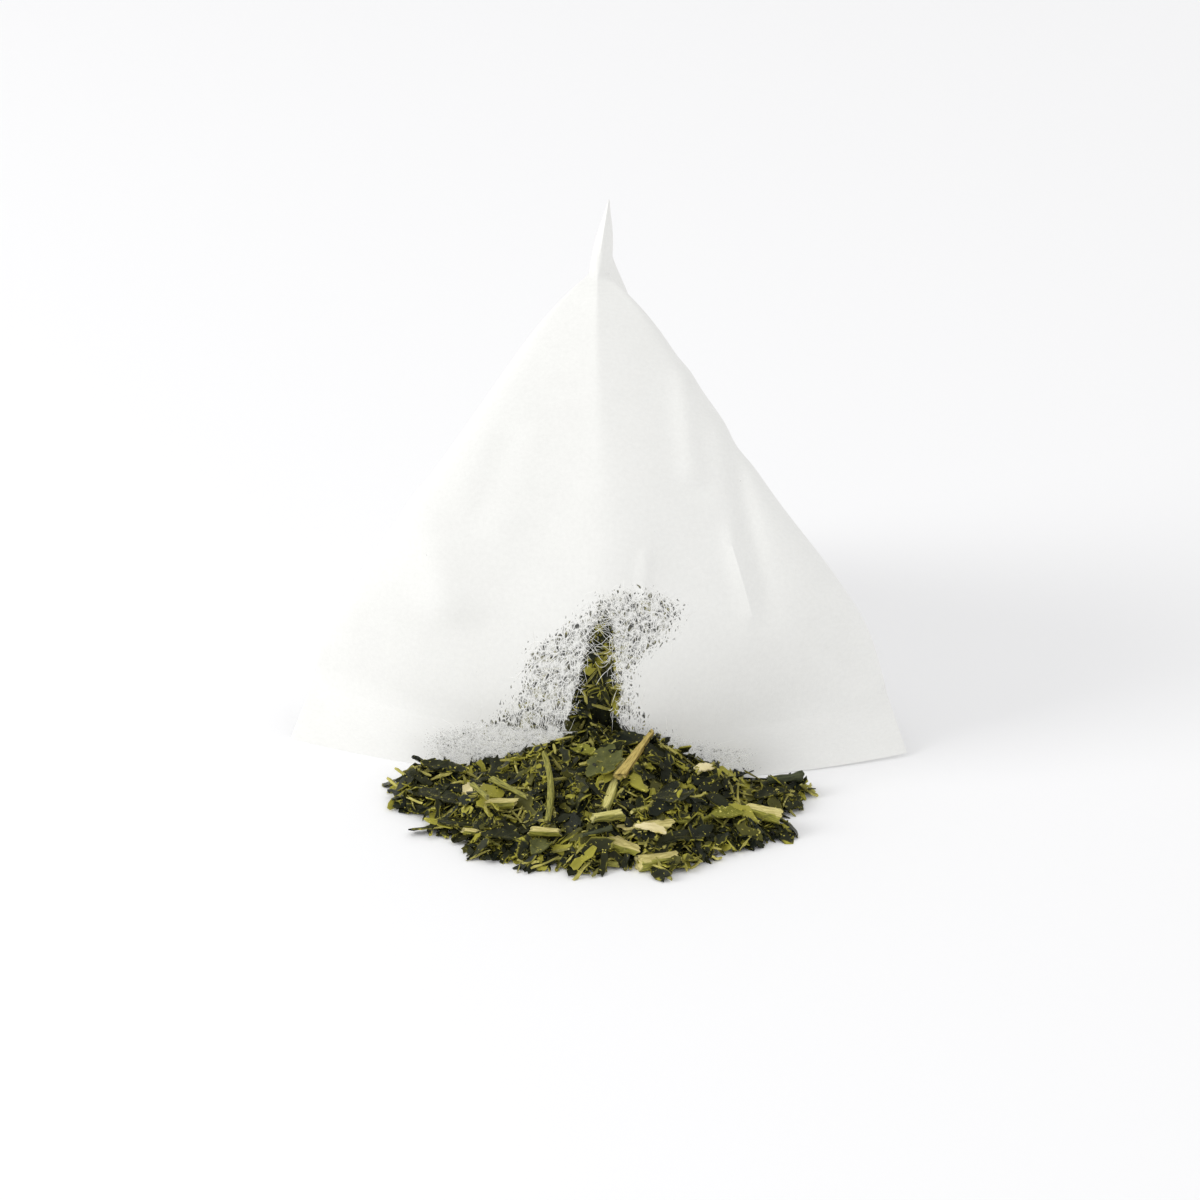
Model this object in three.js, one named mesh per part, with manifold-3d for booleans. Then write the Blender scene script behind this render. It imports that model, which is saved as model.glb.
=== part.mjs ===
// A pyramid tea bag, torn open at the front, with the cut green tea that has spilled out of it.
//
// The bag is one nonwoven sheet, wrapped round into a tube and welded flat at both ends. The lower
// weld runs left to right, and the upper weld runs front to back, so the tube closes to a pyramid.
// Millimetres, +Z up, the torn front faces -Y, and the bag rests on the flat of its base at Z = 0.
import * as THREE from "three";
import { mergeVertices } from "three/addons/utils/BufferGeometryUtils.js";
import Module from "manifold-3d";

const wasm = await Module();
wasm.setup();

// Driving dimensions of the bag.
const WELD_HALF = 28.7; // half of the lower weld's inner edge
const CUT_HALF = 31; // half of the lower weld's cut edge, corner to corner
const WELD_Z = 5.8; // height of the lower weld's inner edge
const WELD_BOW = 11.2; // how far the inner edge of the weld bows forward
const CUT_BOW = 7; // how far the cut edge bows forward
const WELD_FRONT_Y = -8; // the middle of the inner edge, from the line of the cut corners
const CORNER_LIFT = 0.4; // the right-hand corner stands a little off the table
const APEX = new THREE.Vector2(7.2, 48.3); // Y, Z of the upper weld's front end
const BACK = new THREE.Vector2(41, 2.4); // Y, Z of the upper weld's back end
const TAIL = new THREE.Vector2(10.6, 54.6); // Y, Z of the upper fin's top corner
const HEEL = new THREE.Vector2(47.2, 1.4); // Y, Z of the upper fin's bottom corner
const TAIL_LEAN = 0.7; // the top corner leans to the right
const NECK_SPREAD = 0.8; // half the gap between the layers of the fin just behind its top fold
const BACK_WAVE = 3.0; // the upper weld waves sideways by this much
const WALL = 0.3; // thickness of the modelled sheet
const BASE_SAG = 0.45; // how much fuller the base is than the front, before it meets the table
const REST_Y = 17; // the middle of the flat of the base, from the line of the cut corners

// Driving dimensions of the tear and the tea.
const TEAR_TOP = new THREE.Vector2(1.9, 19.5); // X, Z of the top of the tear
const TEAR_LEFT = -3.0; // the tear's sides at the weld
const TEAR_RIGHT = 4.6;
const HEAP_X = 1.3; // middle of the spilled heap
const HEAP_Y = -7;
const HEAP_HALF_X = 19.4;
const HEAP_HALF_Y = 17;
const HEAP_TOP = 5.2;
const HEAP_BACK_Y = -5.4; // the heap ends against the weld
const PILE_TOP = 16; // top of the tea that is still in the bag
const THROAT_TOP = 8.4; // top of the tea in the mouth of the tear
const GAP = 0.3; // clearance between pieces that touch

// Resolution.
const QUARTER = 14; // points in each quarter of a section
const STATIONS = 26; // sections between the two welds
const SMOOTH_SAMPLES = 32; // samples on each eighth of a section before it is resampled

const evenly = (from, to, count) =>
  Array.from({ length: count }, (_, i) => THREE.MathUtils.lerp(from, to, i / (count - 1)));
const SECTIONS = evenly(0.02, 0.98, STATIONS); // places of the sections along the tube

const X_AXIS = new THREE.Vector3(1, 0, 0);
const Y_AXIS = new THREE.Vector3(0, 1, 0);
const Z_AXIS = new THREE.Vector3(0, 0, 1);

// ---------------------------------------------------------------------------------------------
// Solids: three.js geometry to manifold-3d and back.

function solidOf(geometry, matrix = new THREE.Matrix4()) {
  const bare = geometry.clone().applyMatrix4(matrix);
  bare.deleteAttribute("normal");
  bare.deleteAttribute("uv");
  const merged = mergeVertices(bare, 1e-4);
  const faces = [];
  for (let i = 0; i < merged.index.count; i += 3) {
    const [a, b, c] = merged.index.array.slice(i, i + 3);
    if (a !== b && b !== c && c !== a) {
      faces.push(a, b, c);
    }
  }
  return new wasm.Manifold(
    new wasm.Mesh({
      numProp: 3,
      vertProperties: merged.attributes.position.array,
      triVerts: new Uint32Array(faces),
    }),
  );
}

function geometryOf(solid) {
  const mesh = solid.getMesh();
  const geometry = new THREE.BufferGeometry();
  geometry.setAttribute("position", new THREE.BufferAttribute(mesh.vertProperties, 3));
  geometry.setIndex(new THREE.BufferAttribute(mesh.triVerts, 1));
  const flat = geometry.toNonIndexed();
  flat.computeVertexNormals();
  return flat;
}

// One flat end of a skinned body, as strips across the loop from the point where it is folded.
function capTriangles(base, count, fold) {
  const index = [];
  const at = (k) => base + ((fold + k + count) % count);
  for (let k = 0; k < count / 2; k += 1) {
    if (k > 0) {
      index.push(at(k), at(-k), at(k + 1));
    }
    if (k + 1 < count / 2) {
      index.push(at(k + 1), at(-k), at(-k - 1));
    }
  }
  return index;
}

// A closed body through a list of loops, each with the same even number of points. The first end
// is folded at its first point, and the last end a quarter of the way round.
function skinLoops(loops) {
  const count = loops[0].length;
  const position = loops.flat().flatMap((p) => [p.x, p.y, p.z]);
  const last = (loops.length - 1) * count;
  const index = [...capTriangles(0, count, 0), ...capTriangles(last, count, QUARTER).reverse()];
  for (let i = 0; i + 1 < loops.length; i += 1) {
    for (let k = 0; k < count; k += 1) {
      const a = i * count + k;
      const b = i * count + ((k + 1) % count);
      index.push(a, b, a + count, b, b + count, a + count);
    }
  }
  const geometry = new THREE.BufferGeometry();
  geometry.setAttribute("position", new THREE.Float32BufferAttribute(position, 3));
  geometry.setIndex(index);
  return geometry;
}

// ---------------------------------------------------------------------------------------------
// The bag: a tube of sections, u = 0 at the lower weld and u = 1 at the upper one.

const ACROSS = APEX.clone().sub(BACK); // along the upper weld, upwards
const UPPER_HALF = ACROSS.length() / 2;
ACROSS.normalize();
const MIDDLE = APEX.clone().add(BACK).multiplyScalar(0.5);

// Gaussian smoothing of a closed outline, with a width of its own at every sample.
function smoothClosed(outline, widths) {
  const count = outline.length;
  return outline.map((_, i) => {
    const sum = new THREE.Vector2();
    let weight = 0;
    for (let k = -24; k <= 24; k += 1) {
      const w = Math.exp(-0.5 * (k / widths[i]) ** 2);
      sum.addScaledVector(outline[(i + k + count) % count], w);
      weight += w;
    }
    return sum.divideScalar(weight);
  });
}

// Even points along a stretch of an outline, without its last point.
function resample(points, count) {
  const lengths = [0];
  for (let i = 1; i < points.length; i += 1) {
    lengths.push(lengths[i - 1] + points[i].distanceTo(points[i - 1]));
  }
  const out = [];
  let j = 0;
  for (let k = 0; k < count; k += 1) {
    const target = (lengths.at(-1) * k) / count;
    while (lengths[j + 1] < target) {
      j += 1;
    }
    const f = (target - lengths[j]) / (lengths[j + 1] - lengths[j]);
    out.push(points[j].clone().lerp(points[j + 1], f));
  }
  return out;
}

// One section in its own plane: x to the right, y along the upper weld. It starts at the left
// fold, passes over the front ridge to the right fold, and comes back under the base. Its corners
// are soft, except at the folds that run into each weld. Each straight side has its own share of
// the points, so that the pyramid's slanting edges fall between the same two rows of every section.
function sectionOutline(u) {
  const belly = (4 * u * (1 - u)) ** 0.7;
  const half = WELD_HALF * (1 - u) ** 0.71 + 11 * u * (1 - u) ** 2;
  const rise = UPPER_HALF * u ** 0.8;
  const drop = rise * (1 + BASE_SAG * belly);
  const corners = [
    [-half - 0.8 * belly, 0],
    [-half, rise],
    [0, rise + 2.6 * belly],
    [half, rise],
    [half + 0.8 * belly, 0],
    [half, -drop],
    [0, -drop],
    [-half, -drop],
  ].map(([x, y]) => new THREE.Vector2(x, y));
  const outline = [];
  const widths = [];
  const nearTo = (place, corner, reach) => {
    const away = Math.min(Math.abs(place - corner), 8 - Math.abs(place - corner));
    return Math.exp(-((away / reach) ** 2));
  };
  for (let i = 0; i < 8 * SMOOTH_SAMPLES; i += 1) {
    const place = i / SMOOTH_SAMPLES;
    const corner = Math.floor(place);
    outline.push(corners[corner].clone().lerp(corners[(corner + 1) % 8], place - corner));
    const folds = 1 - 0.95 * (1 - u) ** 4 * (nearTo(place, 0, 0.6) + nearTo(place, 4, 0.6));
    const ridge = 1 - 0.93 * u ** 0.6 * nearTo(place, 2, 0.45);
    const heel = 1 - 0.95 * u ** 4 * nearTo(place, 6, 0.6);
    const ends = 0.25 + 0.75 * Math.sqrt(4 * u * (1 - u));
    widths.push(Math.max(0.3, 0.22 * SMOOTH_SAMPLES * folds * ridge * heel * ends));
  }
  const smooth = smoothClosed(outline, widths);
  const sides = [0, 1, 2, 3, 4, 5, 6, 7].map((side) => {
    const from = side * SMOOTH_SAMPLES;
    const points = smooth.slice(from, from + SMOOTH_SAMPLES);
    points.push(smooth[(from + SMOOTH_SAMPLES) % smooth.length]);
    return resample(points, QUARTER / 2);
  });
  return sides.flat();
}

// Moves an outline's points along their own normals, outwards for a positive amount.
function offsetOutline(outline, amount) {
  const count = outline.length;
  return outline.map((p, i) => {
    const along = outline[(i + 1) % count].clone().sub(outline[(i + count - 1) % count]);
    if (along.length() < 1e-6) {
      along.set(0, 1);
    }
    return new THREE.Vector2(p.x - (amount * along.y) / along.length(), p.y + (amount * along.x) / along.length());
  });
}

// How far the upper weld waves to the right, from its top (0) to its heel (2).
function weldWave(down) {
  return BACK_WAVE * Math.sin(Math.PI * down) * THREE.MathUtils.smoothstep(down, 0.15, 0.7);
}

// A section placed in the bag. Sections lie parallel to both welds, the lower ones bow forward
// with the weld, the upper ones wave with theirs, and the table flattens the base. A width of
// zero closes the section to a line, as the space inside ends at the upper weld.
function bagLoop(u, offset, lowest, width = 1) {
  const centreY = THREE.MathUtils.lerp(WELD_FRONT_Y, MIDDLE.x, u);
  const centreZ = THREE.MathUtils.lerp(WELD_Z, MIDDLE.y, u);
  const table = (lowest - centreZ) / ACROSS.y;
  return offsetOutline(sectionOutline(u), offset).map((p) => {
    const along = Math.max(p.y, table);
    const bow = WELD_BOW * (1 - u) ** 2 * (p.x / WELD_HALF) ** 2;
    const down = THREE.MathUtils.clamp(1 - along / UPPER_HALF, 0, 2);
    const x = p.x * width + u ** 4 * weldWave(down);
    return new THREE.Vector3(x, centreY + along * ACROSS.x + bow, centreZ + along * ACROSS.y);
  });
}

// The lower fin, from its cut edge (w = 0) up to the weld's inner edge (w = 1).
function lowerFinLoop(w, thickness) {
  const half = THREE.MathUtils.lerp(CUT_HALF, WELD_HALF, w);
  const bow = THREE.MathUtils.lerp(CUT_BOW, WELD_BOW, w);
  const middle = THREE.MathUtils.lerp(-CUT_BOW, WELD_FRONT_Y, w);
  const first = sectionOutline(SECTIONS[0]);
  const loop = [];
  for (let k = 0; k < 4 * QUARTER; k += 1) {
    const front = k <= 2 * QUARTER;
    const even = front ? k / QUARTER - 1 : 3 - k / QUARTER;
    const across = THREE.MathUtils.lerp(even, first[k].x / first[2 * QUARTER].x, w);
    const fold = k % (2 * QUARTER) === 0;
    const x = half * across;
    const lift = CORNER_LIFT * (1 - w) * Math.max(0, across) ** 3;
    const side = fold ? 0 : (front ? -1 : 1) * thickness;
    loop.push(new THREE.Vector3(x, middle + bow * across ** 2 + side, WELD_Z * w + lift));
  }
  return loop;
}

// The upper fin, from the weld's inner edge (w = 0) out to its cut edge (w = 1). Its layers are
// still apart just behind the fold at the top, and come together towards the corner.
function upperFinLoop(w, thickness) {
  const top = APEX.clone().lerp(TAIL, w);
  const bottom = BACK.clone().lerp(HEEL, w);
  const last = sectionOutline(SECTIONS.at(-1));
  const loop = [];
  for (let k = 0; k < 4 * QUARTER; k += 1) {
    const turn = (k - QUARTER + 4 * QUARTER) % (4 * QUARTER);
    const right = turn <= 2 * QUARTER;
    const even = right ? turn / QUARTER : 4 - turn / QUARTER;
    const down = THREE.MathUtils.lerp(1 - last[k].y / last[QUARTER].y, even, w);
    const place = top.clone().lerp(bottom, down / 2);
    const spread = NECK_SPREAD * (1 - w) * Math.sin(Math.PI * Math.min(1, 3 * down)) ** 2;
    const fold = turn % (2 * QUARTER) === 0;
    const side = fold ? 0 : (right ? 1 : -1) * (thickness + (down < 0.34 ? spread : 0));
    const lean = TAIL_LEAN * w * Math.max(0, 1 - 2 * down);
    loop.push(new THREE.Vector3(weldWave(down) + side + lean, place.x, place.y));
  }
  return loop;
}

// The whole outside of the sheet, fins included, grown by an amount.
function outerBody(grow) {
  const fin = WALL / 2 + grow;
  return solidOf(
    skinLoops([
      ...[0, 0.35, 0.7].map((w) => lowerFinLoop(w, fin)),
      ...SECTIONS.map((u) => bagLoop(u, grow, -grow)),
      ...[0.25, 0.6, 1].map((w) => upperFinLoop(w, fin)),
    ]),
  );
}

// The space inside the sheet, kept a distance in from its outside.
function innerSpace(inset) {
  const hollow = SECTIONS.filter((u) => u > 0.04 && u < 0.95);
  const loops = hollow.map((u, i) => bagLoop(u, -inset, inset, i + 1 < hollow.length ? 1 : 0));
  return solidOf(skinLoops(loops));
}

// The tear: a tall notch through the front wall, the weld and its fin.
function tearCut(shrink) {
  const shape = new THREE.Shape();
  shape.moveTo(TEAR_LEFT - 0.4 + shrink, -2);
  shape.lineTo(TEAR_RIGHT + 0.4 - shrink, -2);
  shape.lineTo(TEAR_RIGHT - 0.3 - shrink, 5.2);
  shape.quadraticCurveTo(TEAR_TOP.x + 1.1 - shrink, 13, TEAR_TOP.x + 0.1, TEAR_TOP.y - 3 * shrink);
  shape.quadraticCurveTo(TEAR_TOP.x - 1.6 + shrink, 13, TEAR_LEFT + 0.6 + shrink, 6.2);
  shape.closePath();
  const notch = new THREE.ExtrudeGeometry(shape, { depth: 24, bevelEnabled: false, curveSegments: 10 });
  notch.rotateX(Math.PI / 2);
  return solidOf(notch, new THREE.Matrix4().makeTranslation(0, -1.5, 0));
}

const bagSheet = outerBody(0).subtract(innerSpace(WALL)).subtract(tearCut(0));

// ---------------------------------------------------------------------------------------------
// The tea: one bed for the fine cut leaf, with the larger stems and leaves lying on it.

function heapHeight(x, y) {
  const radius = Math.hypot((x - HEAP_X) / HEAP_HALF_X, (y - HEAP_Y) / HEAP_HALF_Y);
  return HEAP_TOP * (1 - Math.min(radius, 1) ** 1.7);
}

// The pile still in the bag: highest behind the tear, falling away to the sides and the back.
function pileHeight(x, y) {
  const radius = Math.hypot((x - HEAP_X) / 19, (y + 3) / 30);
  return PILE_TOP * (1 - Math.min(radius, 1) ** 1.4);
}

// A closed body under a height function, over an elliptical patch.
function moundGeometry(cx, cy, halfX, halfY, height, rings, spokes) {
  const position = [cx, cy, height(cx, cy), cx, cy, 0];
  const index = [];
  const at = (ring, spoke, under) => 2 + 2 * ((ring - 1) * spokes + (spoke % spokes)) + under;
  for (let r = 1; r <= rings; r += 1) {
    for (let s = 0; s < spokes; s += 1) {
      const turn = (2 * Math.PI * s) / spokes;
      const x = cx + (halfX * r * Math.cos(turn)) / rings;
      const y = cy + (halfY * r * Math.sin(turn)) / rings;
      position.push(x, y, Math.max(0.25, height(x, y)), x, y, 0);
    }
  }
  for (let s = 0; s < spokes; s += 1) {
    index.push(0, at(1, s, 0), at(1, s + 1, 0), 1, at(1, s + 1, 1), at(1, s, 1));
    for (let r = 1; r < rings; r += 1) {
      const [a, b, c, d] = [at(r, s, 0), at(r + 1, s, 0), at(r + 1, s + 1, 0), at(r, s + 1, 0)];
      index.push(a, b, c, a, c, d, a + 1, c + 1, b + 1, a + 1, d + 1, c + 1);
    }
    const [e, f] = [at(rings, s, 0), at(rings, s + 1, 0)];
    index.push(e, e + 1, f + 1, e, f + 1, f);
  }
  const geometry = new THREE.BufferGeometry();
  geometry.setAttribute("position", new THREE.Float32BufferAttribute(position, 3));
  geometry.setIndex(index);
  return geometry;
}

function largestPart(solid) {
  const parts = solid.decompose();
  return parts.reduce((best, part) => (part.volume() > best.volume() ? part : best));
}

// The tea that fills the mouth of the tear and joins the heap to the pile.
function throatHeight(x, y) {
  const radius = Math.hypot((x - 0.8) / 3.2, (y + 5.6) / 4.4);
  return THROAT_TOP * (1 - 0.5 * Math.min(radius, 1) ** 2);
}

function boxSolid(x0, x1, y0, y1, z0, z1) {
  const box = new THREE.BoxGeometry(x1 - x0, y1 - y0, z1 - z0);
  return solidOf(box, new THREE.Matrix4().makeTranslation((x0 + x1) / 2, (y0 + y1) / 2, (z0 + z1) / 2));
}

const room = innerSpace(WALL + GAP);
const sheetClearance = outerBody(GAP).subtract(room).subtract(tearCut(GAP));
const inFront = boxSolid(-40, 40, -40, HEAP_BACK_Y, -1, 30);
const heapMound = moundGeometry(HEAP_X, HEAP_Y, HEAP_HALF_X, HEAP_HALF_Y, heapHeight, 9, 36);
const heap = solidOf(heapMound).intersect(inFront);
const pile = solidOf(moundGeometry(HEAP_X, 8, 24, 26, pileHeight, 9, 30)).intersect(room);
const throat = solidOf(moundGeometry(0.8, -5.6, 3.2, 4.4, throatHeight, 3, 16));
const teaBed = largestPart(heap.add(pile).add(throat).subtract(sheetClearance));

// A straight or gently bent stem between two points of the heap. Its ends are cut off square.
function stemGeometry({ length, radius, bend = 0, sides = 8 }) {
  const path = new THREE.CatmullRomCurve3(
    evenly(-0.5, 0.5, 5).map((t) => new THREE.Vector3(length * t, bend * (1 - 4 * t * t), 0)),
  );
  const section = new THREE.Shape();
  for (let i = 0; i < sides; i += 1) {
    const turn = (2 * Math.PI * (i + 0.5)) / sides;
    const point = [radius * Math.cos(turn), radius * Math.sin(turn)];
    if (i === 0) {
      section.moveTo(...point);
    } else {
      section.lineTo(...point);
    }
  }
  section.closePath();
  const steps = bend === 0 ? 1 : 8;
  return new THREE.ExtrudeGeometry(section, { steps, extrudePath: path, bevelEnabled: false });
}

// A piece of leaf: pointed or blunt outline along X, curled about its length and bent along it.
function leafGeometry({ length, width, curl = 0, bend = 0, blunt = 0.35, thick = 0.35 }) {
  const along = 6;
  const across = 4;
  const position = [];
  const index = [];
  for (const side of [0.5, -0.5]) {
    for (let i = 0; i <= along; i += 1) {
      const t = i / along;
      const half = (width / 2) * (blunt + (1 - blunt) * Math.sin(Math.PI * t) ** 0.6);
      for (let j = 0; j <= across; j += 1) {
        const s = (2 * j) / across - 1;
        const turn = curl * s;
        const round = Math.abs(curl) < 1e-3 ? s : Math.sin(turn) / curl;
        const lift = Math.abs(curl) < 1e-3 ? 0 : (1 - Math.cos(turn)) / curl;
        const z = half * lift + bend * (2 * t - 1) ** 2 + side * thick * Math.cos(turn);
        position.push(length * (t - 0.5), half * round - side * thick * Math.sin(turn), z);
      }
    }
  }
  const row = across + 1;
  const sheet = row * (along + 1);
  for (let i = 0; i < along; i += 1) {
    for (let j = 0; j < across; j += 1) {
      const a = i * row + j;
      index.push(a, a + row, a + row + 1, a, a + row + 1, a + 1);
      const b = a + sheet;
      index.push(b, b + row + 1, b + row, b, b + 1, b + row + 1);
    }
  }
  const wall = (p, q) => index.push(p, q, q + sheet, p, q + sheet, p + sheet);
  for (let i = 0; i < along; i += 1) {
    wall((i + 1) * row, i * row);
    wall(i * row + across, (i + 1) * row + across);
  }
  for (let j = 0; j < across; j += 1) {
    wall(j, j + 1);
    wall(along * row + j + 1, along * row + j);
  }
  const geometry = new THREE.BufferGeometry();
  geometry.setAttribute("position", new THREE.Float32BufferAttribute(position, 3));
  geometry.setIndex(index);
  return geometry;
}

// Colours of the tea: pale cut wood, yellow-green stalk and dark leaf.
const WOOD = 0xcfc88a;
const STALK = 0xa9a24a;
const LEAF = 0x4a4f2e;
const OLIVE = 0x6d6f3c;

// The larger pieces, lowest first. x and y are the middle of the piece, heading turns it about Z,
// pitch tips its far end down the slope, and roll turns it about its own length.
const PIECES = [
  // Stems and stubs of stalk.
  { name: "stem_front_stub", x: 7.4, y: -24.6, heading: 20, length: 4.0, radius: 0.85, colour: WOOD },
  { name: "stem_cut_stub", x: 4.0, y: -23.4, heading: -20, length: 2.6, radius: 0.8, pitch: 8, colour: WOOD },
  { name: "stem_pointed_stub", x: 6.0, y: -21.0, heading: 14, length: 4.6, radius: 0.75, colour: WOOD },
  { name: "stem_short_stub", x: 2.4, y: -21.8, heading: 22, length: 3.0, radius: 0.55, colour: STALK },
  { name: "stem_middle_stub", x: -3.7, y: -21.6, heading: -3, length: 2.9, radius: 0.55, colour: WOOD },
  { name: "stem_left_pale", x: -9.2, y: -21.2, heading: -12, length: 5.0, radius: 0.4, colour: WOOD },
  { name: "stem_left_yellow", x: -8.4, y: -18.0, heading: 6, length: 3.2, radius: 0.6, colour: STALK },
  { name: "stem_left_thin", x: -10.3, y: -17.6, heading: -57, length: 3.1, radius: 0.28, colour: STALK },
  { name: "stem_left_needle", x: -7.6, y: -15.4, heading: -44, length: 5.2, radius: 0.3, colour: STALK },
  { name: "stem_long_thin", x: -4.0, y: -16.2, heading: -84, length: 9.4, radius: 0.32, pitch: 16, bend: 0.5, colour: STALK },
  { name: "stem_spotted", x: 2.6, y: -16.2, heading: -101, length: 6.8, radius: 0.5, pitch: 15, colour: STALK },
  { name: "stem_brown", x: 4.6, y: -12.8, heading: -112, length: 7.6, radius: 0.42, pitch: 10, colour: 0x8a7a3a },
  { name: "stem_right_twig", x: 5.9, y: -18.4, heading: 36, length: 3.4, radius: 0.25, colour: STALK },
  { name: "stem_right_curved", x: 11.3, y: -18.0, heading: 30, length: 5.2, radius: 0.28, bend: -0.6, colour: STALK },
  { name: "stem_right_hollow", x: 17.2, y: -16.6, heading: -22, length: 3.4, radius: 0.8, colour: WOOD },
  { name: "stem_right_flared", x: 19.0, y: -9.4, heading: 20, length: 3.4, radius: 0.4, colour: 0x5d5530 },
  { name: "stem_front_twig", x: 0.6, y: -24.8, heading: -8, length: 6.0, radius: 0.26, colour: STALK },
  { name: "stem_front_crossing", x: 1.4, y: -23.6, heading: 32, length: 3.4, radius: 0.24, colour: STALK },
  // Flat and curled leaf.
  { name: "leaf_left_curled", x: -14.6, y: -10.6, heading: -20, length: 4.4, width: 2.2, curl: 0.9, colour: LEAF },
  { name: "leaf_left_sliver", x: -17.2, y: -11.6, heading: -20, length: 2.4, width: 1.2, curl: 0.3, colour: LEAF },
  { name: "leaf_left_tipped", x: -15.0, y: -14.6, heading: -24, length: 5.2, width: 2.2, curl: 0.4, colour: LEAF },
  { name: "leaf_left_pale", x: -11.2, y: -14.9, heading: 60, length: 2.4, width: 1.7, curl: 0.4, colour: 0xd9c89a },
  { name: "leaf_left_flat", x: -12.4, y: -19.0, heading: -12, length: 3.4, width: 1.6, curl: 0.2, colour: LEAF },
  { name: "leaf_front_left_curled", x: -7.8, y: -22.9, heading: -6, length: 3.6, width: 2.0, curl: 1.0, colour: LEAF },
  { name: "leaf_front_cup", x: -3.9, y: -23.6, heading: 70, length: 2.6, width: 2.2, curl: 0.9, colour: LEAF },
  { name: "leaf_middle_folded", x: -0.6, y: -11.4, heading: -30, length: 2.4, width: 1.6, curl: 0.9, colour: 0x9a9a55 },
  { name: "leaf_big_olive", x: 1.6, y: -14.2, heading: 66, length: 4.6, width: 3.0, curl: 0.25, pitch: -12, colour: OLIVE },
  { name: "leaf_right_flat", x: 8.4, y: -17.8, heading: 14, length: 3.6, width: 2.4, curl: 0.2, pitch: -4, colour: LEAF },
  { name: "leaf_front_dark", x: 9.4, y: -22.2, heading: 14, length: 4.2, width: 1.9, curl: 0.4, colour: LEAF },
  { name: "leaf_front_plank", x: 6.6, y: -22.9, heading: -24, length: 3.0, width: 1.3, curl: 0.2, colour: WOOD },
  { name: "leaf_right_yellow", x: 13.6, y: -18.6, heading: 16, length: 2.9, width: 2.2, curl: 0.8, colour: 0x85833e },
  { name: "leaf_right_chip", x: 11.2, y: -11.4, heading: 25, length: 1.6, width: 1.4, curl: 0.3, colour: WOOD },
  { name: "leaf_right_curled", x: 17.8, y: -12.6, heading: 30, length: 3.2, width: 1.6, curl: 1.0, colour: LEAF },
];

// Where a piece lies before it is lifted clear: on the slope of the heap, turned by its angles.
function pieceMatrix({ x, y, heading, pitch = 0, roll = 0 }) {
  const turn = new THREE.Matrix4().makeRotationAxis(Z_AXIS, THREE.MathUtils.degToRad(heading));
  turn.multiply(new THREE.Matrix4().makeRotationAxis(Y_AXIS, THREE.MathUtils.degToRad(pitch)));
  turn.multiply(new THREE.Matrix4().makeRotationAxis(X_AXIS, THREE.MathUtils.degToRad(roll)));
  return turn.setPosition(x, y, 0.5);
}

// Lifts a piece in small steps until it clears everything that is already in place.
function settle(piece, geometry, placed) {
  const matrix = pieceMatrix(piece);
  const step = 0.1;
  const flat = solidOf(geometry, matrix);
  const lift = Math.max(0, 0.02 - flat.boundingBox().min[2]);
  matrix.premultiply(new THREE.Matrix4().makeTranslation(0, 0, lift));
  for (let tries = 0; tries < 120; tries += 1) {
    const solid = solidOf(geometry, matrix);
    if (placed.every((other) => solid.minGap(other, GAP * 2) >= GAP)) {
      placed.push(solid);
      return matrix;
    }
    matrix.premultiply(new THREE.Matrix4().makeTranslation(0, 0, step));
  }
  throw new Error("no place found for " + piece.name);
}

// ---------------------------------------------------------------------------------------------
// The assembly.

function namedMesh(name, geometry, colour, roughness) {
  const material = new THREE.MeshStandardMaterial({ color: colour, roughness, metalness: 0 });
  const mesh = new THREE.Mesh(geometry, material);
  mesh.name = name;
  return mesh;
}

const teaBag = new THREE.Group();
teaBag.add(namedMesh("bag_sheet", geometryOf(bagSheet), 0xf4f3ee, 0.85));
teaBag.add(namedMesh("tea_bed", geometryOf(teaBed), 0x3f4429, 0.8));

const placed = [bagSheet, teaBed];
for (const piece of PIECES) {
  const geometry = piece.radius ? stemGeometry(piece) : leafGeometry(piece);
  const mesh = namedMesh(piece.name, geometry, piece.colour, 0.7);
  mesh.applyMatrix4(settle(piece, geometry, placed));
  teaBag.add(mesh);
}
teaBag.position.y = -REST_Y;

export default teaBag;
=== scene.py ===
# A pyramid tea bag of white nonwoven, torn open at the front, with the cut green tea that has
# run out of it. Arrays are worked out in millimetres and go into the meshes in metres.
import math

import bpy
import numpy as np
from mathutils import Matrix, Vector


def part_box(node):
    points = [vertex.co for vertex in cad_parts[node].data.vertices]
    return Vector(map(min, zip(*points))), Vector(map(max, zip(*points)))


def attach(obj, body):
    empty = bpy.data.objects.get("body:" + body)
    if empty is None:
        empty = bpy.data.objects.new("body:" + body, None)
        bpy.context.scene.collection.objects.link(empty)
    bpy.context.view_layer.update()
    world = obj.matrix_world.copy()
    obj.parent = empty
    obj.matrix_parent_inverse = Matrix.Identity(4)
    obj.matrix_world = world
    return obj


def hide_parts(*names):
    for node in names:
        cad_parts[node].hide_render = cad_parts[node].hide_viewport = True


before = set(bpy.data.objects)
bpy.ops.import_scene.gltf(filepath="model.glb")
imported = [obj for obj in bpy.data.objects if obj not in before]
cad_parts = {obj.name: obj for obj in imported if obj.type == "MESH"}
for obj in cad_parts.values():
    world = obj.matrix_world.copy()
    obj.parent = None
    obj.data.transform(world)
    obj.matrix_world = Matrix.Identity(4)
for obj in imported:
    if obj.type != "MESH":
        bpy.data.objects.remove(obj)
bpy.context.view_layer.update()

# ------------------------------------------------------------------------------------------
# The studio: a plain white table in a white room with one soft window at the left, and a camera
# that looks down at the torn front from a little to its right.

MM = 0.001
CAMERA_TURN = math.radians(3.6)
CAMERA_RISE = math.radians(25)
CAMERA_AWAY = 0.45
CAMERA_LENS = 137.0
CAMERA_SHIFT = (0.0021, -0.0279)
FLOOR_REACH = 3.0
WINDOW_PLACE = (-0.58, -0.22, 0.34)

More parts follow.
